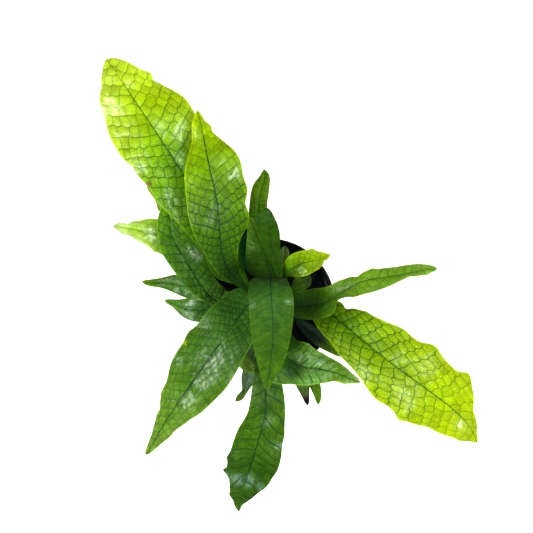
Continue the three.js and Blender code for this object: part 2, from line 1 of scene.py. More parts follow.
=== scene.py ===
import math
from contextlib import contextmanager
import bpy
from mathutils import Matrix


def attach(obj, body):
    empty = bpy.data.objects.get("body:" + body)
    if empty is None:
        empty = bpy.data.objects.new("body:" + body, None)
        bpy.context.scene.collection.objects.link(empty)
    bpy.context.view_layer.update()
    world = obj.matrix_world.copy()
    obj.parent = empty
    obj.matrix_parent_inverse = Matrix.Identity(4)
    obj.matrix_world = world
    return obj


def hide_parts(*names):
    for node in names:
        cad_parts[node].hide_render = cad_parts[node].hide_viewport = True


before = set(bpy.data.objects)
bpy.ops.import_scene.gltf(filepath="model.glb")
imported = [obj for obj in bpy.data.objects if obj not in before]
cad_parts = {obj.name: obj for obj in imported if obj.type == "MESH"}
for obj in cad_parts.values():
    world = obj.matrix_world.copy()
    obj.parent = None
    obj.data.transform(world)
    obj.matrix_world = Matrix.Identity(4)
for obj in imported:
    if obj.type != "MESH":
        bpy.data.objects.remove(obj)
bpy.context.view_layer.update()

# %% [markdown]
# # A potted crocodile fern
# The plant is built on its imported solids, which stay the measure of every size. Each frond,
# the pot, the soil and the rhizome are finer copies of one solid each, made in metres in the
# same frame: the origin is the middle of the pot's underside, and +Z is up. Loose crumbs on
# the soil and papery scales on the rhizome are added to them.
#
# The lesson goes from the camera and the lights to the leaf finish, the fronds, the pot,
# the soil and the rhizome.

# %% Millimetres and chance
from types import SimpleNamespace

import bpy
import numpy as np

MM = 0.001
random = np.random.default_rng(7)

# %% [markdown]
# ## Camera
# The photograph looks straight down from a little over a metre, so the tall fronds near
# the lens look larger than the pot's rim. An 85 mm lens that far away gives that view.
# The camera has no depth of field, so that every other view stays sharp as well.

# %% Camera
bpy.ops.object.select_all(action="DESELECT")
bpy.ops.object.camera_add(location=(-0.0021, 0.0347, 1.2405), rotation=(0, 0, 0))
camera = bpy.context.object
camera.name = "overhead_camera"
camera.data.lens = 85
camera.data.sensor_width = 36
camera.data.clip_start = 0.01
bpy.context.scene.camera = camera
print("camera height", round(camera.location.z, 3))

# %% [markdown]
# ## Helpers for pieces and node trees
# An operator acts on all that is selected, so a new piece starts with nothing selected.
#
# A finish is a small formula. These helpers write one node for each step of it, so the
# cells below read like sums. A socket knows the tree that it belongs to, so a sum finds
# its tree by itself. What several finishes share is a node group with named inputs and
# outputs.

# %% Helpers for pieces
def only(*chosen):
    """Selects these objects alone and makes the first one active."""
    bpy.ops.object.select_all(action="DESELECT")
    for thing in chosen:
        thing.select_set(True)
    bpy.context.view_layer.objects.active = chosen[0]


def start_with(primitive, **settings):
    """Adds a primitive with nothing else selected, and gives its object."""
    bpy.ops.object.select_all(action="DESELECT")
    primitive(**settings)
    return bpy.context.object


@contextmanager
def edit_mode():
    """Edits the active piece, all of it selected, and goes back to object mode."""
    bpy.ops.object.mode_set(mode="EDIT")
    bpy.ops.mesh.select_all(action="SELECT")
    yield
    bpy.ops.object.mode_set(mode="OBJECT")


print("piece helpers ready")


# %% Helpers for node trees
def put(socket, value):
    """Feeds a socket from another socket, or sets it to a plain value."""
    if isinstance(value, bpy.types.NodeSocket):
        socket.id_data.links.new(value, socket)
    elif socket.type == "RGBA":
        socket.default_value = (*value, 1)
    else:
        socket.default_value = value


def feed(node, **inputs):
    """Feeds a node's inputs by name, with underlines for spaces."""
    for name, value in inputs.items():
        put(node.inputs[name.replace("_", " ")], value)
    return node


def fill(node, *values):
    """Feeds a node's inputs in their order, and gives its first output."""
    for socket, value in zip(node.inputs, values):
        put(socket, value)
    return node.outputs[0]


def add(tree, kind, settings=None, **inputs):
    """Adds one node to a tree, with its settings and its inputs."""
    made = tree.nodes.new(kind)
    for name, value in (settings or {}).items():
        setattr(made, name, value)
    return feed(made, **inputs)


def tree_of(*values):
    """The tree of the first socket among some values."""
    return next(value.id_data for value in values if isinstance(value, bpy.types.NodeSocket))


def figure(operation, *terms):
    """One step of arithmetic on numbers."""
    return fill(add(tree_of(*terms), "ShaderNodeMath", {"operation": operation}), *terms)


def times(first, *others):
    """The product of some numbers."""
    for other in others:
        first = figure("MULTIPLY", first, other)
    return first


def ramp(value, low, high, start=0.0, end=1.0):
    """Goes smoothly from start to end while value goes from low to high."""
    steps = add(tree_of(value), "ShaderNodeMapRange", {"interpolation_type": "SMOOTHSTEP"})
    return fill(steps, value, low, high, start, end)


def blend(share, first, second, kind="MIX"):
    """Mixes two colours, given without their alpha."""
    made = add(tree_of(share, first, second), "ShaderNodeMix", {"data_type": "RGBA", "blend_type": kind})
    for number, value in ((0, share), (6, first), (7, second)):
        put(made.inputs[number], value)
    return made.outputs[2]


print("node helpers ready")


# %% Helpers for places, patterns and groups
def parts_of(vector):
    """The three numbers of a vector."""
    return add(tree_of(vector), "ShaderNodeSeparateXYZ", Vector=vector).outputs


def place_in(tree):
    """Where a point lies on its piece, in metres."""
    return add(tree, "ShaderNodeTexCoord").outputs["Object"]


def stored(tree, name):
    """What is kept under a name on the vertices."""
    return add(tree, "ShaderNodeAttribute", {"attribute_name": name}).outputs


def noise(place, scale, detail=2.0, **more):
    """A cloudy pattern round one half."""
    return add(tree_of(place), "ShaderNodeTexNoise", Vector=place, Scale=scale, Detail=detail,
               **more).outputs["Fac"]


def bump(height, strength, distance):
    """The normal of a fine relief."""
    return add(tree_of(height), "ShaderNodeBump", Strength=strength, Distance=distance,
               Height=height).outputs["Normal"]


def new_group(name, takes, gives):
    """An empty node group; gives its tree, its input sockets and its output sockets."""
    group = bpy.data.node_groups.new(name, "ShaderNodeTree")
    for way, sockets in (("INPUT", takes), ("OUTPUT", gives)):
        for title, kind in sockets:
            group.interface.new_socket(title, in_out=way, socket_type=kind)
    return group, group.nodes.new("NodeGroupInput").outputs, group.nodes.new("NodeGroupOutput").inputs


def use(tree, group, **inputs):
    """Places a node group in a tree and feeds it; gives its outputs."""
    return feed(add(tree, "ShaderNodeGroup", {"node_tree": group}), **inputs).outputs


def new_finish(name):
    """A material; gives it with its tree and its Principled surface."""
    finish = bpy.data.materials.new(name)
    finish.use_nodes = True
    return finish, finish.node_tree, finish.node_tree.nodes["Principled BSDF"]


NUMBER, VECTOR, COLOUR = "NodeSocketFloat", "NodeSocketVector", "NodeSocketColor"
print("pattern helpers ready")

# %% [markdown]
# ## Floor, sky and lamps
# The floor is plain and pale. Two soft lamps, one in the west and one in the south-east,
# are mirrored by the skin of the fronds, and two wide ones only fill the shadows. The
# floor isn't mirrored either, so a leaf that lies level keeps its deep colour, and one
# that tilts towards a lamp gets a white sheen. The sky is dim, and the camera sees it
# lighter than it shines.

# %% Floor
floor = start_with(bpy.ops.mesh.primitive_plane_add, size=8, location=(0, 0, -0.0005))
floor.name = "studio_floor"
floor.visible_glossy = False

floor_finish, _, surface = new_finish("pale_floor")
feed(surface, Base_Color=(0.92, 0.92, 0.92), Roughness=0.9, Specular_IOR_Level=0.1,
     Emission_Color=(1, 1, 1), Emission_Strength=0.4)
floor.data.materials.append(floor_finish)
print("floor laid")

# %% Lamps
AIM_HEIGHT = 0.15


def softbox(name, azimuth, elevation, distance, size, power, mirrored=True):
    """A square lamp that shines at the foliage from a compass direction, 0 being +Y."""
    side = math.radians(azimuth)
    up = math.radians(elevation)
    reach = distance * math.cos(up)
    lamp = start_with(
        bpy.ops.object.light_add, type="AREA",
        location=(reach * math.sin(side), reach * math.cos(side), AIM_HEIGHT + distance * math.sin(up)),
        rotation=(math.pi / 2 - up, 0, math.pi - side))
    lamp.name = name
    lamp.data.size = size
    lamp.data.energy = power
    lamp.visible_glossy = mirrored
    return lamp


mirrored_lamps = {
    "west": softbox("key_softbox", azimuth=-98, elevation=56, distance=1.7, size=0.75, power=40),
    "east": softbox("sheen_softbox", azimuth=128, elevation=60, distance=1.7, size=0.65, power=26),
}
softbox("side_softbox", azimuth=80, elevation=38, distance=2.1, size=2.0, power=42, mirrored=False)
softbox("front_softbox", azimuth=215, elevation=30, distance=2.1, size=2.0, power=22, mirrored=False)
print("lamps set")

# %% Sky
scene = bpy.context.scene
scene.view_settings.view_transform = "Standard"
scene.view_settings.gamma = 0.86
scene.world = scene.world or bpy.data.worlds.new("studio")
scene.world.use_nodes = True
sky = scene.world.node_tree
sky.nodes.clear()
seen_directly = add(sky, "ShaderNodeLightPath").outputs["Is Camera Ray"]
lighting = add(sky, "ShaderNodeBackground", Color=(1, 1, 1), Strength=0.16)
backdrop = add(sky, "ShaderNodeBackground", Color=(0.9, 0.9, 0.9))
either = fill(add(sky, "ShaderNodeMixShader"), seen_directly, lighting.outputs[0], backdrop.outputs[0])
add(sky, "ShaderNodeOutputWorld", Surface=either)
print("sky set")

# %% [markdown]
# ## The crocodile net
# Side veins leave the midrib at about 60 degrees and divide the blade into lanes. Cross
# veins cut each lane square across into cells, which lie staggered like bricks, and where a
# cross vein meets a side vein it pulls it into a kink. The blade swells between the veins.
#
# The same few lines of arithmetic serve twice. Here they are a node group that colours
# the veins. Further down they move the vertices, so the dark lines lie in the furrows.
# Both read a map on the blade that counts lanes (U) and cells (V).
#
# From lane to lane the cells are a little longer or shorter (LANE_STRETCH) and begin
# earlier or later (LANE_SHIFT), each by a sine of the lane's number. CROSSING is how far a
# cross vein slants over its lane, in cells. KINK is how far a side vein is pulled, in
# lanes; the ribbed fronds have straight ones.

# %% The rows of cells
LANE_STRETCH = 0.16
STRETCH_TURN = 1.7
LANE_SHIFT = 0.13
SHIFT_TURN = 2.4
CROSSING = 0.52
KINK = 0.12
KINKS = {"ribbed": 0.03}

row_group, row_in, row_out = new_group(
    "cell_row", [("Lane", NUMBER), ("U", NUMBER), ("V", NUMBER)], [("Row", NUMBER)])
stretch = figure("MULTIPLY_ADD", figure("SINE", times(row_in["Lane"], STRETCH_TURN)), LANE_STRETCH, 1.0)
stagger = times(figure("MODULO", row_in["Lane"], 2.0), 0.5)
shift = figure("SINE", figure("MULTIPLY_ADD", row_in["Lane"], SHIFT_TURN, 1.0))
shifted = figure("MULTIPLY_ADD", shift, LANE_SHIFT, stagger)
off_middle = figure("SUBTRACT", figure("SUBTRACT", row_in["U"], row_in["Lane"]), 0.5)
slanted = figure("MULTIPLY_ADD", off_middle, CROSSING, shifted)
put(row_out["Row"], figure("MULTIPLY_ADD", row_in["V"], stretch, slanted))
print("row group:", len(row_group.nodes), "nodes")

# %% The net as a node group
net_group, net_in, net_out = new_group(
    "crocodile_net",
    [("Net", VECTOR), ("Lane width", NUMBER), ("Cell length", NUMBER), ("Kink", NUMBER)],
    [("Side vein", NUMBER), ("Cross vein", NUMBER), ("Swelling", NUMBER), ("Cell", NUMBER)])
across_lanes, along_lane, _ = parts_of(net_in["Net"])


def from_halfway(place):
    """Distance from the middle between two whole numbers, 0 to 0.5."""
    return figure("ABSOLUTE", figure("SUBTRACT", figure("FRACT", place), 0.5))


def near_cross_vein(lane):
    """1 on the lane's cross veins and 0 halfway between them."""
    return times(from_halfway(use(net_group, row_group, Lane=lane, U=border, V=along_lane)["Row"]), 2.0)


border = figure("ROUND", across_lanes)
pull = figure("SUBTRACT", near_cross_vein(border), near_cross_vein(figure("SUBTRACT", border, 1.0)))
fading = figure("MULTIPLY_ADD", figure("ABSOLUTE", figure("SUBTRACT", across_lanes, border)), -2.0, 1.0)
kinked = figure("SUBTRACT", across_lanes, times(pull, fading, net_in["Kink"]))
lane = figure("FLOOR", kinked)
row = use(net_group, row_group, Lane=lane, U=kinked, V=along_lane)["Row"]
side_gap, cross_gap = (figure("SUBTRACT", 0.5, from_halfway(place)) for place in (kinked, row))
put(net_out["Side vein"], times(side_gap, net_in["Lane width"]))
put(net_out["Cross vein"], times(cross_gap, net_in["Cell length"]))
put(net_out["Swelling"], times(ramp(side_gap, 0.0, 0.45), ramp(cross_gap, 0.0, 0.45)))
cell_name = add(net_group, "ShaderNodeCombineXYZ", X=lane, Y=figure("FLOOR", row), Z=0.5)
put(net_out["Cell"], add(
    net_group, "ShaderNodeTexWhiteNoise", Vector=cell_name.outputs[0]).outputs["Value"])
print("net group:", len(net_group.nodes), "nodes")


# %% The net for vertices
def cell_row(lanes, u, v):
    """Where a point lies along its lane, in cells."""
    return (v * (1 + LANE_STRETCH * np.sin(STRETCH_TURN * lanes)) + 0.5 * (lanes % 2)
            + LANE_SHIFT * np.sin(SHIFT_TURN * lanes + 1) + CROSSING * (u - lanes - 0.5))


def swelling(u, v, kink):
    """How far a point of the blade swells out of the net, from 0 on a vein to 1."""
    edge = np.round(u)
    near = [2 * np.abs(np.modf(cell_row(edge - back, edge, v) + 100)[0] - 0.5) for back in (0, 1)]
    u = u - kink * (near[0] - near[1]) * (1 - 2 * np.abs(u - edge))
    rows = cell_row(np.floor(u), u, v)
    gaps = [0.5 - np.abs(place - np.floor(place) - 0.5) for place in (u, rows)]
    domes = [1 - (1 - np.minimum(gap / 0.4, 1)) ** 2.2 for gap in gaps]
    return domes[0] * domes[1]


print("swelling in a cell's middle:", swelling(np.array([100.5]), np.array([0.55]), KINK))

# %% [markdown]
# ## The leaf finish
# The frond's own maps say where a point lies: "net" counts lanes and cells, "blade" holds
# the distance from the midrib and from the margin, and "lane_size" the size of a cell in
# millimetres. "leaf_colour" is painted on the vertices, from the dark stem to the paler
# tip, and its alpha says how strong the veins are there. "wax" says where a thin coat
# shines. The shared group turns these into a colour, a roughness, a fine relief and a
# coat, streaked along the lanes and broken by the veins. Young, grown, ribbed, smooth and
# old fronds, and the undersides, place the same group with their own values.

# %% The leaf's masks
leaf_group, leaf_in, leaf_out = new_group(
    "leaf_skin",
    [("Colour", COLOUR), ("Strength", NUMBER), ("Net", VECTOR), ("Blade", VECTOR), ("Size", VECTOR),
     ("Vein colour", COLOUR), ("Rib colour", COLOUR), ("Margin tint", COLOUR),
     ("Vein depth", NUMBER), ("Paleness", NUMBER), ("Gloss", NUMBER), ("Brushing", NUMBER),
     ("Wax", NUMBER), ("Cross share", NUMBER), ("Kink", NUMBER)],
    [("Colour", COLOUR), ("Roughness", NUMBER), ("Height", NUMBER), ("Wax", NUMBER)])
strength = leaf_in["Strength"]
lane_width, cell_length, _ = parts_of(leaf_in["Size"])
from_rib, from_margin, _ = parts_of(leaf_in["Blade"])
net = use(leaf_group, net_group, Net=leaf_in["Net"], Lane_width=lane_width, Cell_length=cell_length,
          Kink=leaf_in["Kink"])

place = place_in(leaf_group)
mottle = ramp(noise(place, 80.0, 5.0, Roughness=0.65), 0.34, 0.66)
drawn_out = fill(add(leaf_group, "ShaderNodeVectorMath", {"operation": "MULTIPLY"}),
                 leaf_in["Net"], (3.4, 0.9, 0))
streaks = ramp(noise(drawn_out, 1.0, 5.0, Distortion=0.8), 0.34, 0.66)
grain = noise(place, 900.0)
fine_net = add(leaf_group, "ShaderNodeTexVoronoi", {"feature": "DISTANCE_TO_EDGE"}, Vector=place,
               Scale=430.0).outputs["Distance"]
fine_veins = times(ramp(fine_net, 0.02, 0.2, 1.0, 0.0), ramp(strength, 0.1, 1.0))

side_veins = ramp(net["Side vein"], 0.15, 0.95, 1.0, 0.0)
cross_veins = times(ramp(net["Cross vein"], 0.08, 0.7, 1.0, 0.0), leaf_in["Cross share"])
veins = times(figure("MAXIMUM", side_veins, cross_veins), strength)
on_blade = ramp(strength, 0.0, 0.15)
rib = times(ramp(figure("ABSOLUTE", from_rib), 0.4, 1.1, 1.0, 0.0), on_blade)
margin = times(ramp(from_margin, 0.3, 1.3, 1.0, 0.0), on_blade)
print("leaf masks:", len(leaf_group.nodes), "nodes")

# %% The leaf's colour, gloss and relief
brushed = times(figure("SUBTRACT", streaks, 0.5), leaf_in["Brushing"])
by_cell = figure("MULTIPLY_ADD", net["Cell"], 0.26, 0.78)
brightness = figure("ADD", brushed, figure("MULTIPLY_ADD", mottle, 0.18, by_cell))
lit = add(leaf_group, "ShaderNodeHueSaturation", Color=leaf_in["Colour"], Value=brightness).outputs[0]
yellower = blend(1.0, lit, (1.25, 1.12, 0.8), "MULTIPLY")
# The rim of the blade is painted lighter: a painted highlight along the margin.
edge = blend(1.0, lit, leaf_in["Margin tint"], "MULTIPLY")
colour = blend(times(strength, 0.5, net["Swelling"]), lit, yellower)
colour = blend(times(fine_veins, 0.35), colour, leaf_in["Vein colour"])
colour = blend(times(veins, leaf_in["Vein depth"]), colour, leaf_in["Vein colour"])
colour = blend(times(leaf_in["Vein depth"], 1.1, rib), colour, leaf_in["Rib colour"])
colour = blend(times(margin, 0.7), colour, edge)
put(leaf_out["Colour"], blend(leaf_in["Paleness"], colour, (0.13, 0.22, 0.07)))
rough = figure("MULTIPLY_ADD", mottle, 0.14, leaf_in["Gloss"])
put(leaf_out["Roughness"], figure("MULTIPLY_ADD", veins, 0.12, rough))
relief = figure("MULTIPLY_ADD", veins, -0.6, times(net["Swelling"], 0.6))
relief = figure("MULTIPLY_ADD", fine_veins, -0.12, relief)
put(leaf_out["Height"], figure("MULTIPLY_ADD", grain, 0.06, relief))
worn = times(ramp(streaks, 0.1, 0.8, 0.3, 1.0), ramp(veins, 0.0, 1.0, 1.0, 0.4))
put(leaf_out["Wax"], times(leaf_in["Wax"], worn))
print("leaf group:", len(leaf_group.nodes), "nodes")


# %% The leaf materials
def leaf_finish(name, vein_colour, rib_colour, rim_highlight_tint, vein_depth, gloss, paleness=0.0,
                brushing=0.25, cross_share=0.8, kink=KINK):
    """One kind of leaf skin on the shared group."""
    finish, tree, surface = new_finish(name)
    painted, waxed = stored(tree, "leaf_colour"), stored(tree, "wax")["Fac"]
    net, blade, size = (add(tree, "ShaderNodeUVMap", {"uv_map": title}).outputs[0]
                        for title in ("net", "blade", "lane_size"))
    skin = use(tree, leaf_group, Colour=painted["Color"], Strength=painted["Alpha"], Net=net, Blade=blade,
               Size=size, Vein_colour=vein_colour, Rib_colour=rib_colour, Margin_tint=rim_highlight_tint,
               Vein_depth=vein_depth, Paleness=paleness, Gloss=gloss, Brushing=brushing, Wax=waxed,
               Cross_share=cross_share, Kink=kink)
    feed(surface, Base_Color=skin["Colour"], Roughness=skin["Roughness"], Specular_IOR_Level=0.08,
         Normal=bump(skin["Height"], 0.5, 0.0005), Coat_Weight=skin["Wax"], Coat_Roughness=0.22)
    return finish


# the margin tints lighten the rim: a painted highlight along the blade's edge
TEAL_VEIN, TEAL_RIB, RIM_HIGHLIGHT_TINT = (0.008, 0.036, 0.007), (0.009, 0.036, 0.014), (1.8, 1.5, 1.2)
leaf_tops = {
    "young": leaf_finish("leaf_young", (0.016, 0.062, 0.002), (0.016, 0.06, 0.012), (1.5, 1.35, 1.3),
                         0.9, 0.36, brushing=0.15),
    "mature": leaf_finish("leaf_mature", TEAL_VEIN, TEAL_RIB, RIM_HIGHLIGHT_TINT, 1.0, 0.36),
    "ribbed": leaf_finish("leaf_ribbed", TEAL_VEIN, TEAL_RIB, RIM_HIGHLIGHT_TINT, 1.0, 0.36, brushing=0.45,
                          cross_share=0.3, kink=KINKS["ribbed"]),
    "smooth": leaf_finish("leaf_smooth", (0.006, 0.035, 0.01), (0.006, 0.028, 0.014), (1.25, 1.2, 1.0),
                          0.85, 0.5, brushing=0.35),
    "old": leaf_finish("leaf_old", (0.006, 0.03, 0.008), (0.006, 0.025, 0.01), (1.3, 1.25, 1.1),
                       0.6, 0.4, brushing=0.4),
}
LIGHTER = (1.2, 1.2, 1.2)
leaf_undersides = {
    "young": leaf_finish("leaf_young_underside", (0.06, 0.15, 0.02), (0.12, 0.2, 0.05), LIGHTER,
                         0.5, 0.5, paleness=0.35),
    "mature": leaf_finish("leaf_mature_underside", (0.02, 0.07, 0.02), (0.06, 0.12, 0.04), LIGHTER,
                          0.5, 0.5, paleness=0.4),
    "old": leaf_finish("leaf_old_underside", (0.015, 0.05, 0.015), (0.04, 0.08, 0.03), LIGHTER,
                       0.45, 0.55, paleness=0.3),
}
print("leaf materials:", [finish.name for finish in bpy.data.materials if finish.name.startswith("leaf")])

# %% [markdown]
# ## The fronds' form
# A frond is a strap on a spine. The spine is one smooth curve from the buried end of the
# stem to the tip, and a second curve gives the width of each half. The halves rise from
# the midrib like a shallow gutter, each bends over a little towards its margin, and the
# margin waves and has bays and bulges. The table holds the same rows as the solids, in
# millimetres: points of the midrib and the half widths there, left and right.
#
# Places along a frond are shares of its spine, from 0 at the buried end to 1 at the tip.

# %% The fronds' rows
# name, root, rise at base and tip, bend, wave (height, length, start), rows
FRONDS = [
    ("northwest_long", (-15, 15), (26, 8), -14, (2.6, 62, 0.4), [
        (-20, 19, 130, 3, 3), (-29, 35, 148, 19, 6.5), (-38, 53, 162, 21, 11),
        (-47, 72, 174, 24, 21), (-72, 113, 191, 29, 30), (-95, 148, 196, 35, 35),
        (-118, 182, 190, 26.5, 23), (-129, 199, 185, 15, 12), (-137, 209, 181, 4, 4),
    ]),
    ("northwest_strip", (-20, 23), (20, 5), -10, (0.8, 40, 1.2), [
        (-28, 29, 110, 2, 2), (-47, 43, 123, 6, 6), (-68, 62, 132, 9, 9), (-85, 87, 138, 8.5, 9),
        (-96, 104, 139, 9, 8), (-104, 116, 138, 4.5, 4.5), (-108, 121, 136, 2, 2),
    ]),
    ("north_broad", (-5, 8), (30, 6), -16, (1.8, 48, 2.4), [
        (-20, 16, 150, 2, 2), (-32, 30, 175, 7.5, 7), (-39, 45, 194, 14, 13.5),
        (-41, 73, 213, 23.5, 23.5), (-43, 91, 218, 25.5, 25), (-48, 113, 219, 21, 26),
        (-52, 133, 215, 14.5, 18.5), (-55, 148, 210, 8, 5.5), (-59, 163, 205, 1.8, 1.8),
    ]),
    ("west_curved", (-18, 2), (26, 8), -12, (1.2, 36, 0), [
        (-29, 3, 117, 3, 5), (-46, 4, 124, 4.5, 13), (-57, 15, 135, 9.5, 13),
        (-68, 33, 145, 13, 16), (-77, 48, 150, 14.5, 18), (-84, 62, 152, 12.5, 17),
        (-86, 77, 152, 11, 14.5), (-88, 87, 150, 6, 7), (-89, 93, 148, 1.8, 1.8),
    ]),
    ("west_young", (-25, 10), (22, 6), -12, (0.9, 34, 0.8), [
        (-38, 12, 105, 2, 2), (-54, 26, 110, 4, 4), (-79, 51, 118, 13, 13),
        (-99, 63, 121, 14, 14), (-112, 66, 120, 10, 10.5), (-126, 69, 116, 6, 6),
        (-140, 71, 109, 1.8, 1.8),
    ]),
    ("west_low", (-27, 3), (24, 6), -10, (0.6, 30, 2), [
        (-39, 5, 107, 2, 2), (-55, 11, 116, 7.5, 7), (-70, 16, 120, 10, 10),
        (-84, 19, 119, 7.5, 8.5), (-96, 20, 115, 4.5, 4.5), (-106, 20, 111, 3, 3),
        (-114, 21, 107, 1.6, 1.6),
    ]),
    ("west_short", (-22, -5), (24, 6), -10, (0.6, 28, 0.5), [
        (-33, -4, 104, 2, 2), (-46, -5, 109, 6.5, 6.5), (-59, -5, 113, 10, 10),
        (-71, -3, 113, 10, 10), (-83, 0, 109, 5.5, 5.5), (-94, 4, 103, 1.6, 1.6),
    ]),
    ("southwest_broad", (-9, 0), (28, 8), -16, (1.5, 52, 1.1), [
        (-13, 6, 134, 3, 12.5), (-20, -1, 147, 11, 20), (-28, -12, 157, 20, 23),
        (-38, -26, 164, 24, 25.5), (-59, -55, 167, 25.5, 25.5), (-72, -74, 162, 22.5, 19.5),
        (-86, -94, 151, 14.5, 10.5), (-98, -114, 138, 8, 5.5), (-109, -132, 124, 1.8, 1.8),
    ]),
    ("centre_arched", (1, 0), (24, 4), -14, (0.8, 58, 0.6), [
        (1, 5, 130, 3, 3), (1, 15, 165, 7, 7), (1, 23, 200, 11.5, 12.5), (1, 25, 222, 14, 16),
        (1, 20, 237, 15.5, 18), (2, 8, 243, 17.5, 18.5), (3, -20, 234, 15.5, 17.5),
        (2, -37, 222, 12, 14), (0, -53, 207, 7.5, 7.5), (-2, -68, 190, 1.8, 1.8),
    ]),
    ("south_long", (0, -12), (24, 8), -12, (1.6, 44, 0.2), [
        (-1, -19, 115, 2, 2), (-2, -35, 128, 4.5, 4.5), (-3, -52, 136, 10.5, 6),
        (-3, -69, 140, 15, 11.5), (-3, -93, 138, 17.5, 16), (-9, -118, 129, 21.5, 21),
        (-15, -140, 116, 25, 21.5), (-19, -154, 101, 24, 20), (-22, -164, 96, 18, 12),
        (-26, -179, 80, 6, 5), (-28, -193, 68, 1.8, 1.8),
    ]),
    ("southeast_pointed", (8, -9), (24, 8), -12, (1, 36, 0.9), [
        (7, -24, 134, 11, 6), (13, -41, 148, 17, 20), (28, -51, 155, 20, 17),
        (44, -54, 155, 14.5, 12.5), (57, -57, 151, 9.5, 7), (71, -63, 142, 5, 4.5),
        (80, -67, 134, 1.8, 1.8),
    ]),
    ("southeast_broad", (18, 2), (26, 8), -14, (2.2, 56, 2.2), [
        (21, 6, 128, 2.5, 2.5), (37, 2, 146, 7, 8), (54, -7, 160, 13.5, 16.5),
        (76, -25, 172, 22, 21), (102, -46, 178, 28.5, 28.5), (132, -68, 173, 29, 32),
        (157, -87, 160, 25, 25), (175, -105, 146, 7, 15), (183, -120, 134, 1.8, 1.8),
    ]),
    ("east_narrow", (10, 4), (24, 8), -12, (1, 46, 1.6), [
        (12, 2, 150, 5, 5), (23, 1, 172, 12, 9.5), (38, 3, 188, 13.5, 12.5),
        (50, 6, 198, 12.5, 12), (63, 15, 204, 9, 9), (75, 22, 206, 7.5, 10.5),
        (90, 25, 204, 7.5, 10.5), (109, 28, 196, 6.5, 5), (126, 31, 186, 5, 4),
        (142, 33, 176, 1.8, 1.8),
    ]),
    ("northeast_young", (16, 16), (26, 10), -10, (0.7, 26, 0.4), [
        (15, 27, 122, 2.5, 2.5), (22, 34, 135, 10, 9), (31, 38, 143, 11, 11.5),
        (41, 40, 147, 8.5, 8), (49, 43, 149, 4.5, 3.5), (53, 45, 150, 1.6, 1.6),
    ]),
    ("northeast_small", (10, 23), (20, 8), -10, (0.3, 22, 0.4), [
        (12, 29, 106, 2, 2), (13, 36, 111, 4, 4), (14, 44, 115, 4.5, 4.5), (14, 53, 116, 3, 3),
    ]),
    ("north_low", (-2, 20), (24, 8), -10, (0.7, 34, 1.9), [
        (-1, 33, 120, 2, 2), (-4, 54, 134, 6, 6), (-9, 73, 146, 8, 8), (-9, 88, 150, 8, 7.5),
        (-7, 102, 151, 7.5, 7.5), (-4, 112, 149, 4.5, 5), (-4, 119, 147, 1.6, 1.6),
    ]),
    ("north_upright", (7, 14), (26, 8), -12, (0.6, 36, 0.7), [
        (9, 24, 150, 2, 2), (7, 37, 172, 4, 4), (3, 49, 188, 6.5, 6.5), (1, 61, 198, 9, 8),
        (-2, 71, 204, 10.5, 8), (-2, 83, 206, 3, 3),
    ]),
    ("north_inner", (1, 13), (20, 6), -12, (0.7, 34, 0.1), [
        (3, 20, 128, 4, 3), (-1, 36, 150, 16, 7), (-5, 49, 162, 16, 7), (-10, 60, 169, 10, 6),
        (-14, 69, 173, 5, 4), (-17, 77, 175, 1.8, 1.8),
    ]),
    ("north_shaded", (-9, 20), (22, 8), -10, (0.4, 24, 0.9), [
        (-12, 25, 107, 2, 2), (-17, 36, 115, 5.5, 6), (-21, 48, 120, 6, 7),
        (-23.5, 62, 123, 4.5, 6.5), (-23, 72, 123, 4, 4), (-23, 79, 121, 1.6, 1.6),
    ]),
    ("east_blunt", (20, 9), (20, 6), -10, (0.3, 22, 1.5), [
        (23, 15, 106, 4, 4), (29, 20, 110, 7, 7), (34, 23, 111, 6.5, 6.5),
        (38, 25, 111, 4.5, 4.5),
    ]),
    ("southeast_shaded", (20, -6), (22, 8), -10, (0.4, 24, 0.3), [
        (24, -11, 108, 2, 2), (32, -19, 114, 5, 5), (40, -26, 117, 6.5, 6.5),
        (50, -34, 116, 5.5, 5.5), (65, -46, 107, 1.6, 1.6),
    ]),
    ("south_small", (8, -18), (22, 8), -10, (0.4, 24, 2.2), [
        (16, -40, 116, 2, 2), (24, -57, 121, 5.5, 5.5), (30, -70, 118, 6, 6),
        (33, -81, 112, 3.5, 3.5), (35, -90, 106, 1.6, 1.6),
    ]),
    ("south_sliver", (15, -13), (22, 8), -10, (0.4, 24, 1.1), [
        (24, -38, 106, 2, 2), (33, -56, 110, 4.5, 4.5), (41, -71, 109, 5, 5),
        (44, -81, 105, 3.5, 3.5), (45, -90, 100, 1.6, 1.6),
    ]),
    ("south_curled", (-7, -17), (22, 10), -20, (0.4, 24, 0.8), [
        (-11, -28, 106, 2, 2), (-15, -43, 112, 3.5, 3.5), (-18, -58, 115, 7, 5.5),
        (-19.5, -68, 113, 6.5, 5.5), (-22, -77, 109, 3, 2.5), (-26, -83, 106, 3.2, 3),
        (-30, -87, 104, 1.6, 1.6),
    ]),
    ("south_olive", (-13, -10), (20, 6), -10, (0.4, 24, 1.8), [
        (-20, -20, 106, 2, 2), (-27, -33, 112, 4.5, 4.5), (-25, -45, 117, 6, 6),
        (-19, -54, 118, 5.5, 5.5), (-10, -60, 116, 1.6, 1.6),
    ]),
]
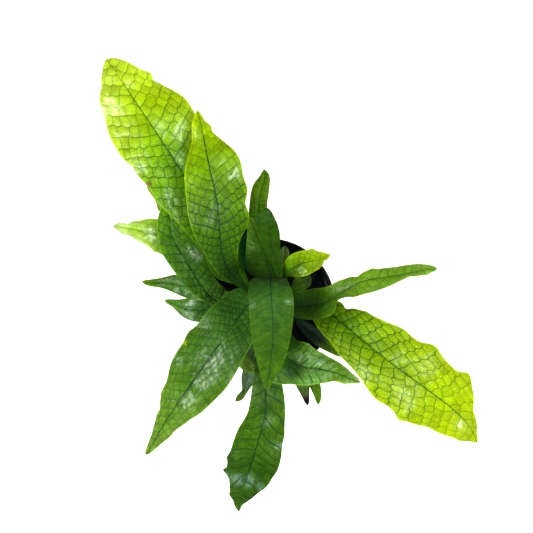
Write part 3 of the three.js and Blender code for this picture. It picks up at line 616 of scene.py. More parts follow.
# frond: bays and bulges of its outline (half, place, reach, outward in millimetres)
FRILLS = {
    "northwest_long": [(-1, 0.56, 0.05, 3.5), (-1, 0.69, 0.02, -1.5), (-1, 0.8, 0.05, 2.5),
        (-1, 0.93, 0.022, -2.5), (-1, 0.98, 0.02, 1.2), (1, 0.79, 0.05, 2), (1, 0.868, 0.01, -1.2),
        (1, 0.893, 0.014, 2.6), (-1, 0.72, 0.15, 0.6)],
    "northwest_strip": [(-1, 0.77, 0.03, 3.2), (-1, 0.9, 0.03, 1.6)],
    "north_broad": [(1, 0.6, 0.04, 2), (1, 0.71, 0.03, 2), (1, 0.875, 0.025, -1.8),
        (1, 0.94, 0.013, 3.2), (1, 0.676, 0.022, -2.6)],
    "west_young": [(-1, 0.58, 0.03, 3), (-1, 0.7, 0.02, 1.2), (-1, 0.93, 0.03, 1.8),
        (1, 0.8, 0.03, 1.2), (1, 0.91, 0.015, -1.6)],
    "west_short": [(-1, 0.9, 0.06, -1.6)],
    "southwest_broad": [(1, 0.49, 0.03, 2.6), (1, 0.73, 0.03, 2.6), (1, 0.785, 0.012, -1.2),
        (-1, 0.74, 0.03, -1.6), (-1, 0.87, 0.03, 1.2), (1, 0.7, 0.25, 0.6), (-1, 0.59, 0.08, 0.8)],
    "south_long": [(-1, 0.55, 0.03, 1.4), (-1, 0.79, 0.05, -2.4), (-1, 0.96, 0.03, -1.6),
        (1, 0.5, 0.05, -1), (1, 0.715, 0.025, 1.8), (1, 0.795, 0.012, 4.2), (1, 0.9, 0.035, 3),
        (1, 0.29, 0.05, 4.5), (-1, 0.85, 0.02, -1), (1, 0.96, 0.03, 1.4)],
    "southeast_pointed": [(1, 0.78, 0.05, 1.8), (1, 0.88, 0.04, 1.5), (1, 0.54, 0.05, 5.5)],
    "southeast_broad": [(-1, 0.362, 0.012, -3.6), (-1, 0.415, 0.02, 1.5),
        (-1, 0.54, 0.035, 2.2), (-1, 0.65, 0.03, 4.4), (-1, 0.8, 0.025, 6), (-1, 0.88, 0.022, -3.8),
        (-1, 0.94, 0.015, 1.2), (1, 0.44, 0.04, 2.4), (1, 0.6, 0.035, 2.8), (1, 0.695, 0.018, 3),
        (1, 0.86, 0.05, 2.2), (1, 0.95, 0.02, 2.6)],
    "east_narrow": [(-1, 0.62, 0.02, 1), (-1, 0.68, 0.014, -2.4), (-1, 0.73, 0.014, 1.4),
        (-1, 0.9, 0.08, 1.3), (1, 0.572, 0.022, -6.5), (1, 0.63, 0.02, 1), (1, 0.75, 0.03, -0.9),
        (1, 0.87, 0.02, -1), (1, 0.95, 0.02, 1.2)],
    "northeast_young": [(-1, 0.86, 0.04, 2.4), (1, 0.93, 0.02, -1.8)],
    "north_inner": [(-1, 0.55, 0.12, 2)],
}
# frond: the way it heads, seen from above, where its own spine doesn't say
HEADINGS = {"centre_arched": (0, -1)}
# frond: place, reach and angle in degrees of the fold that turns its right half over
TURNS = {"east_narrow": (0.6, 0.055, -70)}
print("fronds:", len(FRONDS))

# %% Measures that all fronds share, in millimetres
ROOT_HEIGHTS = (82, 97.5, 102)
STEM_HALF_WIDTH = 1.6
STEM_THICKNESS = 2.6
BLADE_THICKNESS = 0.9
KEEL_DEPTH = 0.8
TIP_ROUNDING = 5
VEIN_SLANT = 0.55
RIPPLE_HALF_WIDTH = 12
# and in shares of the spine or of the half width
UNFOLDING = 0.15
NET_ONSET = 0.12
STEM_FADING = 0.2
HEADING_REACH = 0.2
RIPPLE_POWER = 1.6
RIPPLE_LAG = 0.37
print("side veins leave the midrib at", round(math.degrees(math.atan(1 / VEIN_SLANT))), "degrees")


# %% Smooth curves
def smooth(value, low, high):
    """Goes smoothly from 0 to 1 while value goes from low to high."""
    share = np.clip((value - low) / (high - low), 0, 1)
    return share * share * (3 - 2 * share)


def lengths_of(rows):
    """The length of each row, as a column."""
    return np.linalg.norm(rows, axis=1)[:, None]


class Spline:
    """A smooth curve through points, walked by its share from 0 to 1."""

    STEPS = 200

    def __init__(self, points, even=False):
        points = np.array(points, float)
        self.last = len(points) - 1
        self.even = even
        self.points = np.vstack([2 * points[0] - points[1], points, 2 * points[-1] - points[-2]])
        self.steps = np.linspace(0, 1, self.STEPS + 1)
        gaps = np.linalg.norm(np.diff(self.at(self.steps), axis=0), axis=1)
        self.lengths = np.concatenate([[0], np.cumsum(gaps)])
        self.length = self.lengths[-1]

    def at(self, share):
        place = np.clip(share, 0, 1) * self.last
        first = np.minimum(place.astype(int), self.last - 1)
        w = (place - first)[:, None]
        a, b, c, d = (self.points[first + k] for k in range(4))
        if self.even:
            leave, arrive = (c - a) / 2, (d - b) / 2
        else:
            ab, bc, cd = (np.maximum(lengths_of(q - p), 1e-8) ** 0.5 for p, q in ((a, b), (b, c), (c, d)))
            leave = bc * ((b - a) / ab - (c - a) / (ab + bc) + (c - b) / bc)
            arrive = bc * ((c - b) / bc - (d - b) / (bc + cd) + (d - c) / cd)
        return (b + leave * w + (3 * c - 3 * b - 2 * leave - arrive) * w ** 2
                + (2 * b - 2 * c + leave + arrive) * w ** 3)

    def share_of(self, part):
        """The share at which a part of the curve's length has been walked."""
        return np.interp(part * self.length, self.lengths, self.steps)

    def direction(self, share):
        """The way ahead along the curve."""
        ahead, behind = np.clip(share + 1e-4, 0, 1), np.clip(share - 1e-4, 0, 1)
        step = self.at(ahead) - self.at(behind)
        return step / lengths_of(step)


print("curve helpers ready")


# %% The form of one frond
class FrondForm:
    """A frond's middle surface, walked along (u, 0 to 1) and across (-1 left to 1 right)."""

    def __init__(self, name, root, rise, bend, wave, rows):
        stem = [(*root, z, STEM_HALF_WIDTH, STEM_HALF_WIDTH) for z in ROOT_HEIGHTS]
        rows = np.array(stem + rows, float)
        self.name, self.root, self.rise, self.bend, self.wave = name, root, rise, bend, wave
        self.spine = Spline(rows[:, :3])
        self.widths = Spline(rows[:, 3:], even=True)
        self.length = self.spine.length
        division = round(len(stem) / (len(rows) - 1) * Spline.STEPS)
        self.start = self.spine.lengths[division] / self.length

    def on_spine(self, u):
        return self.spine.at(self.spine.share_of(u))

    def half_width(self, u, side):
        halves = self.widths.at(self.spine.share_of(u))
        half = np.where(side < 0, halves[:, 0], halves[:, 1])
        for edge, place, reach, outward in FRILLS.get(self.name, []):
            half = half + np.where(edge * side > 0, outward * np.exp(-((u - place) / reach) ** 2), 0)
        half = np.maximum(half, STEM_HALF_WIDTH / 2)
        past = np.maximum((u - 1) * self.length / TIP_ROUNDING + 1, 0)
        rounded = np.maximum(half * np.sqrt(np.maximum(1 - past ** 2, 0)), 0.5)
        return np.where(past > 0, rounded, half)

    def heading(self, u):
        """The way the blade runs near u, seen from above."""
        if self.name in HEADINGS:
            flat = np.tile(HEADINGS[self.name], (len(u), 1)).astype(float)
        else:
            place = np.maximum(u, self.start)
            ahead, behind = (self.on_spine(np.clip(place + reach, 0, 1))
                             for reach in (HEADING_REACH, -HEADING_REACH))
            flat = (ahead - behind)[:, :2]
        return flat / lengths_of(flat)

    def at(self, u, across):
        """Points of the middle surface, their upper normals, and the half widths there."""
        side, share = np.sign(across), np.abs(across)
        half = self.half_width(u, across)
        along = self.spine.direction(self.spine.share_of(u))
        flat = self.heading(u)
        sideways = np.column_stack([flat[:, 1], -flat[:, 0], np.zeros(len(u))])
        normal = np.cross(sideways, along)
        normal /= lengths_of(normal)
        sideways = np.cross(along, normal)

        open_share = smooth(u, self.start, self.start + UNFOLDING)
        blade = np.maximum((u - self.start) / (1 - self.start), 0)
        rise = np.radians(self.rise[0] + (self.rise[1] - self.rise[0]) * np.sqrt(blade)) * open_share
        if self.name in TURNS:
            middle, reach, angle = TURNS[self.name]
            rise += np.where(side > 0, np.radians(angle) * np.exp(-((u - middle) / reach) ** 2), 0)
        # Each half is an arc of a circle; the small term keeps a flat one off zero
        bend = np.radians(2 * self.bend) * open_share - 1e-4
        angle = rise + bend * share
        out = half * (np.sin(angle) - np.sin(rise)) / bend
        lift = half * (np.cos(rise) - np.cos(angle)) / bend
        height, length, begin = self.wave
        swell = (height * open_share * share ** RIPPLE_POWER * np.minimum(half / RIPPLE_HALF_WIDTH, 1)
                 * np.sin(2 * np.pi * (u * self.length / length + begin + RIPPLE_LAG * side)))
        face = normal * np.cos(angle)[:, None] - sideways * (side * np.sin(angle))[:, None]
        points = (self.on_spine(u) + sideways * (side * out)[:, None]
                  + normal * lift[:, None] + face * swell[:, None])
        return points, face, half


forms = {row[0]: FrondForm(*row) for row in FRONDS}
roots = [form.root for form in forms.values()]
print("longest spine:", round(max(form.length for form in forms.values())), "mm")

# %% [markdown]
# ## The fronds' looks
# Young fronds are lime with dark furrows, grown ones mid green with a teal tone along the
# veins, and old ones deep green and almost smooth. Colours are given as they look in the
# light of this studio, from the base to the tip, and turned into what the skin reflects.
# Some of them hold painted light: pale painted sheens and dark painted shade, noted at
# their rows.
#
# Wax shines in patches. Each patch has a place, a reach, the lamp it mirrors, how far the
# blade turns there to mirror it, and how waxed it is. A faint pale sheen is painted on the
# waxed patches as well.

# %% The looks of each frond
LIGHT = 0.66


def seen(red, green, blue):
    """A colour as it looks, 0 to 255, as the share of light that the surface gives back."""
    tone = np.array((red, green, blue)) / 255
    return np.where(tone <= 0.04045, tone / 12.92, ((tone + 0.055) / 1.055) ** 2.4) * LIGHT


# name: kind, lane width, cell length, net height, vein strength at base and tip,
# colours at base, quarter, middle, three quarters and tip
LOOKS = {
    "northwest_long": ("young", 10.2, 9.4, 0.42, 1.0, 0.55,
        (54, 98, 18), (54, 93, 7), (109, 160, 1), (163, 193, 10), (190, 215, 57)),
    "northwest_strip": ("young", 7.0, 6.5, 0.22, 0.75, 0.5,
        (68, 109, 10), (90, 130, 20), (108, 146, 33), (121, 152, 46), (134, 159, 57)),
    "north_broad": ("mature", 8.4, 6.9, 0.32, 1.0, 0.2,
        (37, 71, 6), (52, 87, 2), (79, 119, 3), (122, 159, 1), (159, 191, 2)),
    "west_curved": ("mature", 8.5, 6.6, 0.22, 0.8, 0.6,
        (90, 141, 51), (76, 118, 37), (59, 102, 2), (78, 126, 2), (105, 156, 1)),
    "west_young": ("young", 8.0, 7.0, 0.2, 0.5, 0.2,
        (48, 92, 1), (66, 112, 1), (91, 132, 2), (161, 199, 53), (173, 193, 124)),
    # west_low's pale base and quarter are a painted sheen
    "west_low": ("mature", 7.0, 6.5, 0.2, 0.4, 0.1,
        (194, 247, 168), (143, 197, 117), (61, 111, 11), (61, 100, 4), (93, 131, 3)),
    "west_short": ("mature", 7.0, 6.5, 0.2, 0.6, 0.3,
        (67, 105, 64), (69, 113, 49), (72, 120, 38), (86, 138, 38), (103, 140, 50)),
    "southwest_broad": ("mature", 9.8, 6.4, 0.38, 0.6, 0.5,
        (73, 120, 44), (66, 107, 29), (76, 116, 16), (101, 137, 42), (112, 145, 56)),
    "centre_arched": ("smooth", 10.0, 8.5, 0.14, 0.4, 0.3,
        (33, 71, 21), (44, 81, 26), (54, 91, 28), (61, 96, 16), (72, 111, 3)),
    "south_long": ("ribbed", 12.5, 8.5, 0.2, 0.9, 0.8,
        (44, 37, 101), (58, 90, 22), (67, 105, 3), (54, 90, 6), (73, 110, 11)),
    "southeast_pointed": ("ribbed", 8.5, 7.5, 0.14, 0.6, 0.35,
        (28, 51, 2), (70, 107, 8), (101, 149, 63), (105, 146, 41), (164, 205, 112)),
    "southeast_broad": ("young", 11.4, 8.6, 0.4, 1.0, 0.45,
        (9, 53, 3), (100, 138, 2), (142, 173, 3), (161, 185, 3), (161, 182, 2)),
    # east_narrow's near-black base is painted shade
    "east_narrow": ("mature", 8.0, 7.5, 0.15, 0.3, 0.25,
        (3, 3, 3), (42, 79, 5), (88, 125, 10), (98, 134, 27), (114, 155, 55)),
    "northeast_young": ("young", 5.5, 5.5, 0.3, 0.4, 0.2,
        (32, 84, 6), (111, 160, 2), (167, 212, 1), (150, 185, 1), (160, 183, 1)),
    "northeast_small": ("old", 6.0, 6.0, 0.15, 0.2, 0.1,
        (81, 107, 43), (104, 136, 49), (119, 155, 57), (137, 161, 85), (124, 154, 76)),
    "north_low": ("old", 7.0, 6.5, 0.2, 0.2, 0.1,
        (28, 74, 1), (48, 101, 1), (65, 119, 1), (95, 131, 11), (99, 135, 26)),
    "north_upright": ("old", 7.0, 6.5, 0.17, 0.2, 0.1,
        (47, 82, 19), (48, 86, 10), (49, 81, 15), (45, 80, 1), (37, 75, 1)),
    "north_inner": ("old", 7.0, 6.5, 0.2, 0.2, 0.1,
        (35, 47, 15), (42, 74, 14), (62, 102, 15), (103, 151, 36), (122, 163, 47)),
    # north_shaded's dark teal is painted shade, deep under north_broad
    "north_shaded": ("old", 6.0, 6.0, 0.15, 0.2, 0.1,
        (9, 51, 22), (15, 69, 29), (20, 81, 35), (22, 86, 37), (25, 90, 40)),
    "east_blunt": ("old", 6.0, 6.0, 0.1, 0.2, 0.1,
        (55, 97, 6), (67, 106, 10), (68, 95, 22), (52, 78, 28), (52, 83, 39)),
    # southeast_shaded's dark base and middle are painted shade; its tip, out of the shade, is lighter
    "southeast_shaded": ("old", 6.0, 6.0, 0.15, 0.2, 0.1,
        (22, 36, 21), (19, 43, 27), (37, 58, 42), (100, 143, 15), (135, 180, 2)),
    "south_small": ("old", 6.0, 6.0, 0.15, 0.2, 0.1,
        (60, 110, 0), (74, 122, 0), (83, 126, 17), (80, 94, 50), (78, 36, 69)),
    "south_sliver": ("old", 6.0, 6.0, 0.15, 0.2, 0.1,
        (57, 98, 45), (74, 115, 40), (84, 125, 34), (84, 122, 18), (82, 115, 2)),
    # south_curled's pale grey quarter and middle are a painted sheen
    "south_curled": ("old", 6.0, 6.0, 0.26, 0.2, 0.1,
        (185, 255, 4), (164, 202, 153), (165, 195, 165), (104, 142, 79), (129, 159, 3)),
    "south_olive": ("old", 6.0, 6.0, 0.26, 0.2, 0.1,
        (72, 106, 35), (90, 125, 39), (113, 148, 51), (150, 189, 80), (186, 229, 104)),
}
# frond, place in millimetres, radius, colour: marks of age, and painted light where noted
STAINS_AND_PAINTED_LIGHT = [
    ("northwest_long", (-100, 104), 3.5, (120, 110, 60)),
    ("northwest_long", (-118, 150), 2.0, (150, 160, 40)),
    ("southwest_broad", (-72, -31), 3.0, (150, 175, 10)),
    ("north_upright", (0, 79), 1.6, (70, 60, 30)),
    ("southeast_broad", (159, -92), 2.5, (175, 180, 70)),
    ("south_small", (33, -88), 9.0, (24, 14, 20)),
    # painted highlight: a pale band along the fold where south_long drops
    ("south_long", (-37, -154), 5.0, (88, 122, 92)),
    ("south_long", (-28, -157), 6.5, (92, 126, 96)),
    ("south_long", (-18, -160), 6.5, (92, 126, 96)),
    ("south_long", (-8, -165), 5.0, (88, 122, 92)),
    # painted shadow: the shade that centre_arched casts on southeast_pointed
    ("southeast_pointed", (19, -30), 15.0, (34, 66, 8)),
    ("southeast_pointed", (20, -53), 15.0, (38, 74, 12)),
]
print("looks:", len(LOOKS))

# %% Where the wax shines
# frond: place in millimetres, reach, lamp, share of the turn towards it, wax
SHEENS = {
    "northwest_long": [(-134, 174, 10, "west", 1, 0.75), (-129, 162, 11.2, "west", 1, 0.75),
        (-132, 190, 5, "west", 1, 0.98), (-126, 144, 8.7, "west", 1, 0.38),
        (-104, 115, 10, "west", 1, 0.45), (-73, 149, 12.4, "east", 1, 0.68),
        (-75, 123, 7.5, "west", 1, 0.45), (-116, 188, 6.3, "west", 1, 0.22),
        (-84, 90, 7.5, "east", 1, 0.75), (-77, 80, 6.3, "east", 1, 0.52)],
    "north_broad": [(-27, 111, 8.5, "east", 1, 0.75), (-38, 121, 4.9, "east", 0.89, 0.45),
        (-62, 143, 7.4, "west", 0.91, 0.26), (-45, 74, 12.2, "east", 1, 0.22)],
    "west_curved": [(-65, 48, 6.5, "east", 1, 0.68)],
    "west_young": [(-105, 64, 6.7, "west", 1, 0.75), (-131, 71, 5.4, "west", 1, 0.26)],
    "west_low": [(-73, 13, 9.3, "east", 1, 0.52), (-92, 22, 8, "west", 1, 0.3)],
    "west_short": [(-70, -1, 8.1, "west", 1, 0.6)],
    "southwest_broad": [(-44, -47, 12.8, "west", 1, 0.52), (-30, -39, 10.2, "east", 1, 0.38),
        (-69, -82, 10.3, "west", 1, 0.45), (-58, -65, 9, "west", 1, 0.41), (-48, -33, 7.7, "east", 1, 0.3),
        (-75, -45, 11.5, "west", 1, 0.19), (-54, -13, 10.2, "west", 1, 0.19)],
    "centre_arched": [(15, 8, 2.1, "east", 1, 0.6), (-12, 3, 2.1, "west", 1, 0.19)],
    "south_long": [(-22, -158, 12.2, "east", 1, 0.15), (7, -124, 7.9, "east", 0.9, 0.38),
        (-29, -135, 8, "west", 0.56, 0.22), (1, -102, 7.9, "west", 1, 0.11)],
    "southeast_pointed": [(36, -48, 9, "east", 1, 0.45), (49, -57, 7.8, "east", 1, 0.22)],
    "southeast_broad": [(83, -56, 8.8, "west", 1, 0.3), (109, -45, 8.9, "east", 1, 0.26),
        (115, -77, 11.4, "east", 1, 0.38), (166, -102, 5.2, "east", 0.91, 0.98),
        (131, -49, 11.4, "east", 1, 0.22)],
    "east_narrow": [(64, 19, 6.2, "west", 1, 0.26)],
    "northeast_young": [(27, 31, 5.2, "west", 0.81, 0.52)],
    "north_inner": [(-16, 53, 6.4, "east", 1, 0.22)],
}


def mirror_slope(spot, lamp):
    """The slope, to +X and +Y, that mirrors a lamp's light from a spot up to the camera."""
    ways = [np.array(thing.location) / MM - spot for thing in (camera, lamp)]
    halfway = sum(way / np.linalg.norm(way) for way in ways)
    return -halfway[:2] / halfway[2]


print("fronds with sheens:", len(SHEENS))

# %% [markdown]
# ## From a flat grid to a frond
# Every frond starts as a flat grid with finer steps than a cell of its net. Its vertices
# move to where the form puts them, the net raises them between its veins, and a slow drift
# keeps the blade from looking ruled. Where a sheen stands, the blade tilts a little until it
# mirrors its lamp. Solidify then gives the leaf its second side, and the two sides part
# round the stem and the keel.


# %% Drifts, vertices and maps
def wander(x, y, seed):
    """A slow drift between -1 and 1 that keeps repeats from looking regular."""
    return (0.5 * np.sin(0.061 * x + 0.043 * y + seed)
            + 0.3 * np.sin(0.118 * y - 0.097 * x + 2.1 * seed)
            + 0.2 * np.sin(0.21 * x + 0.17 * y + 4.3 * seed))


def read_points(mesh):
    """The vertices' places."""
    flat = np.empty(len(mesh.vertices) * 3)
    mesh.vertices.foreach_get("co", flat)
    return flat.reshape(-1, 3)


def write_points(mesh, points):
    """Moves the vertices."""
    mesh.vertices.foreach_set("co", np.ascontiguousarray(points, float).ravel())
    mesh.update()


def add_map(mesh, title, *columns):
    """A map on the face corners, from its two columns."""
    layer = mesh.uv_layers.get(title) or mesh.uv_layers.new(name=title)
    layer.uv.foreach_set("vector", np.column_stack(columns).astype(np.float32).ravel())


def keep(mesh, name, values):
    """Keeps a number for each vertex under a name."""
    layer = mesh.attributes.new(name, "FLOAT", "POINT")
    layer.data.foreach_set("value", values.astype(np.float32))


print("mesh helpers ready")

# %% A frond's grid
ROW_STEP = 1.5
COLUMN_STEP = 1.45
STEM_ROW_STEP = 4


def lay_grid(number, form):
    """A flat grid laid out for a frond, with all that the next steps read of it."""
    leaf = SimpleNamespace(number=number, form=form)
    leaf.kind, leaf.lane, leaf.cell, leaf.net, leaf.strong, leaf.faint, *leaf.colours = LOOKS[form.name]
    leaf.widest = form.half_width(np.linspace(form.start, 1, 60), np.ones(60)).max()
    columns = 2 * max(8, round(leaf.widest / COLUMN_STEP))
    stem_rows = math.ceil(form.length * form.start / STEM_ROW_STEP)
    rows = stem_rows + math.ceil(form.length * (1 - form.start) / ROW_STEP)
    leaf.piece = start_with(
        bpy.ops.mesh.primitive_grid_add, x_subdivisions=columns, y_subdivisions=rows, size=2)
    leaf.piece.name = form.name + "_blade"
    flat = read_points(leaf.piece.data).round(6)
    # Columns lie closer together near the midrib
    leaf.across = np.sign(flat[:, 0]) * np.abs(flat[:, 0]) ** 1.12
    leaf.share = np.abs(leaf.across)
    place = np.interp((flat[:, 1] + 1) / 2 * rows, (0, stem_rows, rows), (0, form.start, 1))
    leaf.place, leaf.blade = place, np.clip((place - form.start) / (1 - form.start), 0, 1)
    # Rows slant forward as the side veins do
    reach = np.minimum(form.half_width(place, leaf.across), 0.7 * (1 - place) * form.length)
    leaf.u = np.minimum(place + VEIN_SLANT * leaf.share * reach / form.length, 1)
    leaf.points, leaf.face, half = form.at(leaf.u, leaf.across)
    leaf.x, leaf.y = leaf.points[:, 0], leaf.points[:, 1]
    leaf.from_rib = leaf.share * half * math.hypot(1, VEIN_SLANT)
    leaf.from_margin = (1 - leaf.share) * half
    leaf.on_blade = smooth(leaf.u, form.start, form.start + NET_ONSET) * smooth(1 - leaf.u, 0.004, 0.04)
    return leaf


print("rows", ROW_STEP, "mm and columns", COLUMN_STEP, "mm apart")

# %% The net on a frond
FIRST_LANE = 100
OTHER_HALF = 38.45
WALK_STEPS = 400
RIB_FURROW = 0.45
DRIFT = 0.7


def cell_scale(blade):
    """Cells are smaller near the base and have their full size from the middle on."""
    return 0.55 + 0.45 * smooth(blade, 0, 0.5)


def count_net(leaf):
    """Counts lanes along the midrib and cells away from it, both a little uneven."""
    form, number, x, y = leaf.form, leaf.number, leaf.x, leaf.y
    walk = np.linspace(0, 1, WALK_STEPS)
    walk_blade = np.clip((walk - form.start) / (1 - form.start), 0, 1)
    step = form.length / (WALK_STEPS - 1) / (leaf.lane * cell_scale(walk_blade))
    lanes = FIRST_LANE + np.interp(leaf.place, walk, np.cumsum(step))
    uneven = 0.18 * wander(x, y, number) + 0.1 * wander(2.4 * x, 2.4 * y, number + 3)
    leaf.left_lanes = lanes + uneven * smooth(leaf.from_rib, 0, 8)
    leaf.right_lanes = leaf.left_lanes + OTHER_HALF
    uneven = 0.3 * wander(y, x, number + 5) + 0.14 * wander(2.4 * y, 2.4 * x, number + 9)
    cells = leaf.from_rib / (leaf.cell * cell_scale(leaf.blade)) * (1 + 0.22 * leaf.share)
    leaf.cells = cells + uneven * smooth(leaf.from_rib, 1, 8)


def raise_cells(leaf):
    """Moves the vertices: cells swell, the midrib lies in a furrow, and the blade drifts."""
    lanes = np.where(leaf.across > 0, leaf.right_lanes, leaf.left_lanes)
    domes = swelling(lanes, leaf.cells, KINKS.get(leaf.kind, KINK)) - 0.55
    furrow = RIB_FURROW * np.exp(-(leaf.from_rib / 0.9) ** 2)
    drift = DRIFT * wander(1.3 * leaf.x, 1.3 * leaf.y, 2 * leaf.number + 1) * smooth(leaf.from_rib, 0, 14)
    height = leaf.net * (domes * smooth(leaf.from_margin, 0.2, 3.5)) - furrow + drift
    leaf.points = leaf.points + leaf.face * (height * leaf.on_blade)[:, None]
    write_points(leaf.piece.data, leaf.points * MM)


print("both halves count from lane", FIRST_LANE, "and", FIRST_LANE + OTHER_HALF)

# %% Sheens on a frond
THIN_WAX = 0.04
STEEPEST = 0.05


def tilt_to_lamps(leaf):
    """Tilts patches of the blade until they mirror a lamp, and waxes them."""
    normals = np.empty(len(leaf.points) * 3)
    leaf.piece.data.vertex_normals.foreach_get("vector", normals)
    normals = normals.reshape(-1, 3)
    upward = np.where(np.abs(normals[:, 2:]) < STEEPEST, STEEPEST, normals[:, 2:])
    lean = -normals[:, :2] / upward
    tilt = np.zeros(len(leaf.points))
    leaf.wax = np.full(len(leaf.points), THIN_WAX if leaf.kind in ("young", "mature", "ribbed") else 0.0)
    for spot_x, spot_y, reach, lamp, turn, shine in SHEENS.get(leaf.form.name, []):
        away = np.hypot(leaf.x - spot_x, leaf.y - spot_y)
        near = np.exp(-0.5 * (away / reach) ** 2)
        own = (lean * near[:, None] ** 4).sum(0) / (near ** 4).sum()
        added = turn * (mirror_slope(leaf.points[np.argmin(away)], mirrored_lamps[lamp]) - own)
        tilt = tilt + (added[0] * (leaf.x - spot_x) + added[1] * (leaf.y - spot_y)) * near
        leaf.wax = np.maximum(leaf.wax, shine * near)
    leaf.points = leaf.points + leaf.face * (tilt * leaf.on_blade)[:, None]
    write_points(leaf.piece.data, leaf.points * MM)


print("sheens:", sum(len(spots) for spots in SHEENS.values()))


# %% A frond's maps
def add_leaf_maps(leaf):
    """The maps of the leaf finish, on the corners of every face."""
    mesh = leaf.piece.data
    corners = np.empty(len(mesh.loops), int)
    mesh.loops.foreach_get("vertex_index", corners)
    right = leaf.across[corners].reshape(-1, 4).mean(1).repeat(4) > 0
    lanes = np.where(right, leaf.right_lanes[corners], leaf.left_lanes[corners])
    rib_width = (1.3 - 0.85 * leaf.blade) * np.clip(leaf.widest / 25, 0.45, 1)
    scale = cell_scale(leaf.blade)[corners]
    mesh.uv_layers[0].name = "net"
    add_map(mesh, "net", lanes, leaf.cells[corners])
    add_map(mesh, "blade", (leaf.from_rib / rib_width)[corners], leaf.from_margin[corners])
    add_map(mesh, "lane_size", leaf.lane * scale, leaf.cell * scale)


# %% A frond's paint
COLOUR_STOPS = (0, 0.25, 0.5, 0.75, 1)
STEM_COLOUR = seen(58, 52, 22)
# a pale painted sheen, laid over the waxed patches on top of the coat's own reflection
PAINTED_SHEEN_COLOUR = seen(165, 190, 160)


def laid_over(colour, cover, share):
    """One colour over another, by a share for each vertex."""
    return colour * (1 - share)[:, None] + cover * share[:, None]


def paint(leaf):
    """Paints the vertices: colour with stains, painted highlight, painted shadow and a pale painted sheen
    on the wax, vein strength, and where the wax is.
    """
    form, mesh = leaf.form, leaf.piece.data
    tones = np.array([seen(*colour) for colour in leaf.colours])
    along = np.clip(leaf.blade + 0.2 * (leaf.share - 0.4) * smooth(leaf.blade, 0, 0.2), 0, 1)
    colour = np.column_stack([np.interp(along, COLOUR_STOPS, tones[:, k]) for k in range(3)])
    colour = laid_over(colour, STEM_COLOUR, 1 - smooth(leaf.u, 0.25 * form.start, form.start))
    # stains, and patches of painted highlight and painted shadow
    for frond, (spot_x, spot_y), radius, mark in STAINS_AND_PAINTED_LIGHT:
        if frond == form.name:
            away = np.hypot(leaf.x - spot_x, leaf.y - spot_y)
            colour = laid_over(colour, seen(*mark), 1 - smooth(away, 0.3 * radius, radius))
    # painted sheen: the waxed patches are painted paler
    colour = laid_over(colour, PAINTED_SHEEN_COLOUR, np.clip(0.12 * (leaf.wax - 0.05), 0, 0.12))
    strength = leaf.strong + (leaf.faint - leaf.strong) * smooth(leaf.blade, 0.35, 0.9)
    strength = (strength * smooth(leaf.u, form.start, form.start + 0.1)
                * (1 - 0.5 * smooth(leaf.share, 0.85, 1)))
    layer = mesh.color_attributes.new(name="leaf_colour", type="FLOAT_COLOR", domain="POINT")
    layer.data.foreach_set("color", np.column_stack([colour, strength]).astype(np.float32).ravel())
    keep(mesh, "wax", leaf.wax * leaf.on_blade)


print("bare stem reflects", STEM_COLOUR.round(3))


# %% A frond's two sides
def thicken(leaf):
    """Gives the blade its underside, the round stem and the keel."""
    mesh, form = leaf.piece.data, leaf.form
    shell = leaf.piece.modifiers.new("thickness", "SOLIDIFY")
    shell.thickness = BLADE_THICKNESS * MM
    shell.offset = 0
    shell.material_offset = 1
    only(leaf.piece)
    bpy.ops.object.modifier_apply(modifier="thickness")

    both = read_points(mesh)
    upper, under = both[:len(leaf.points)], both[len(leaf.points):]
    middle = (upper + under) / 2
    outward = (upper - under) / lengths_of(upper - under)
    stem = 1 - smooth(leaf.u, form.start, form.start + STEM_FADING)
    thick = (BLADE_THICKNESS - 0.3 * smooth(leaf.share, 0.8, 1)) * (1 - stem)
    thick = thick + STEM_THICKNESS * np.sqrt(1 - 0.75 * leaf.across ** 2) * stem
    keel = KEEL_DEPTH * (1 - 0.7 * leaf.u) * np.exp(-(leaf.from_rib / 1.1) ** 2) * leaf.on_blade
    write_points(mesh, np.vstack([middle + outward * (thick / 2 * MM)[:, None],
                                  middle - outward * ((thick / 2 + keel) * MM)[:, None]]))


# %% All the fronds
UNDERSIDES = {"smooth": "mature", "ribbed": "mature"}


def build_frond(number, form):
    """One frond: a grid bent to its form, with its maps, its colours and its thickness."""
    leaf = lay_grid(number, form)
    for step in (count_net, raise_cells, tilt_to_lamps, add_leaf_maps, paint):
        step(leaf)
    piece, grown = leaf.piece, UNDERSIDES.get(leaf.kind, leaf.kind)
    piece.data.materials.append(leaf_tops[leaf.kind])
    piece.data.materials.append(leaf_undersides[grown])
    thicken(leaf)
    bpy.ops.object.shade_smooth_by_angle(angle=math.radians(60))
    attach(piece, "root")
    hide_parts("frond_" + form.name)
    return piece


fronds = [build_frond(number, form) for number, form in enumerate(forms.values())]
print("fronds:", len(fronds), "with", sum(len(piece.data.polygons) for piece in fronds) * 2, "triangles")

# %% [markdown]
# ## The pot
# A grower's pot is a thin moulded cup that narrows downwards, with a deep band round its
# mouth and two fine beads along the lip. It is drawn here as a potter would: a disc is
# extruded and resized from ring to ring, up the outside, over the lip and down the inside.
# Six rods then cut the drain holes.


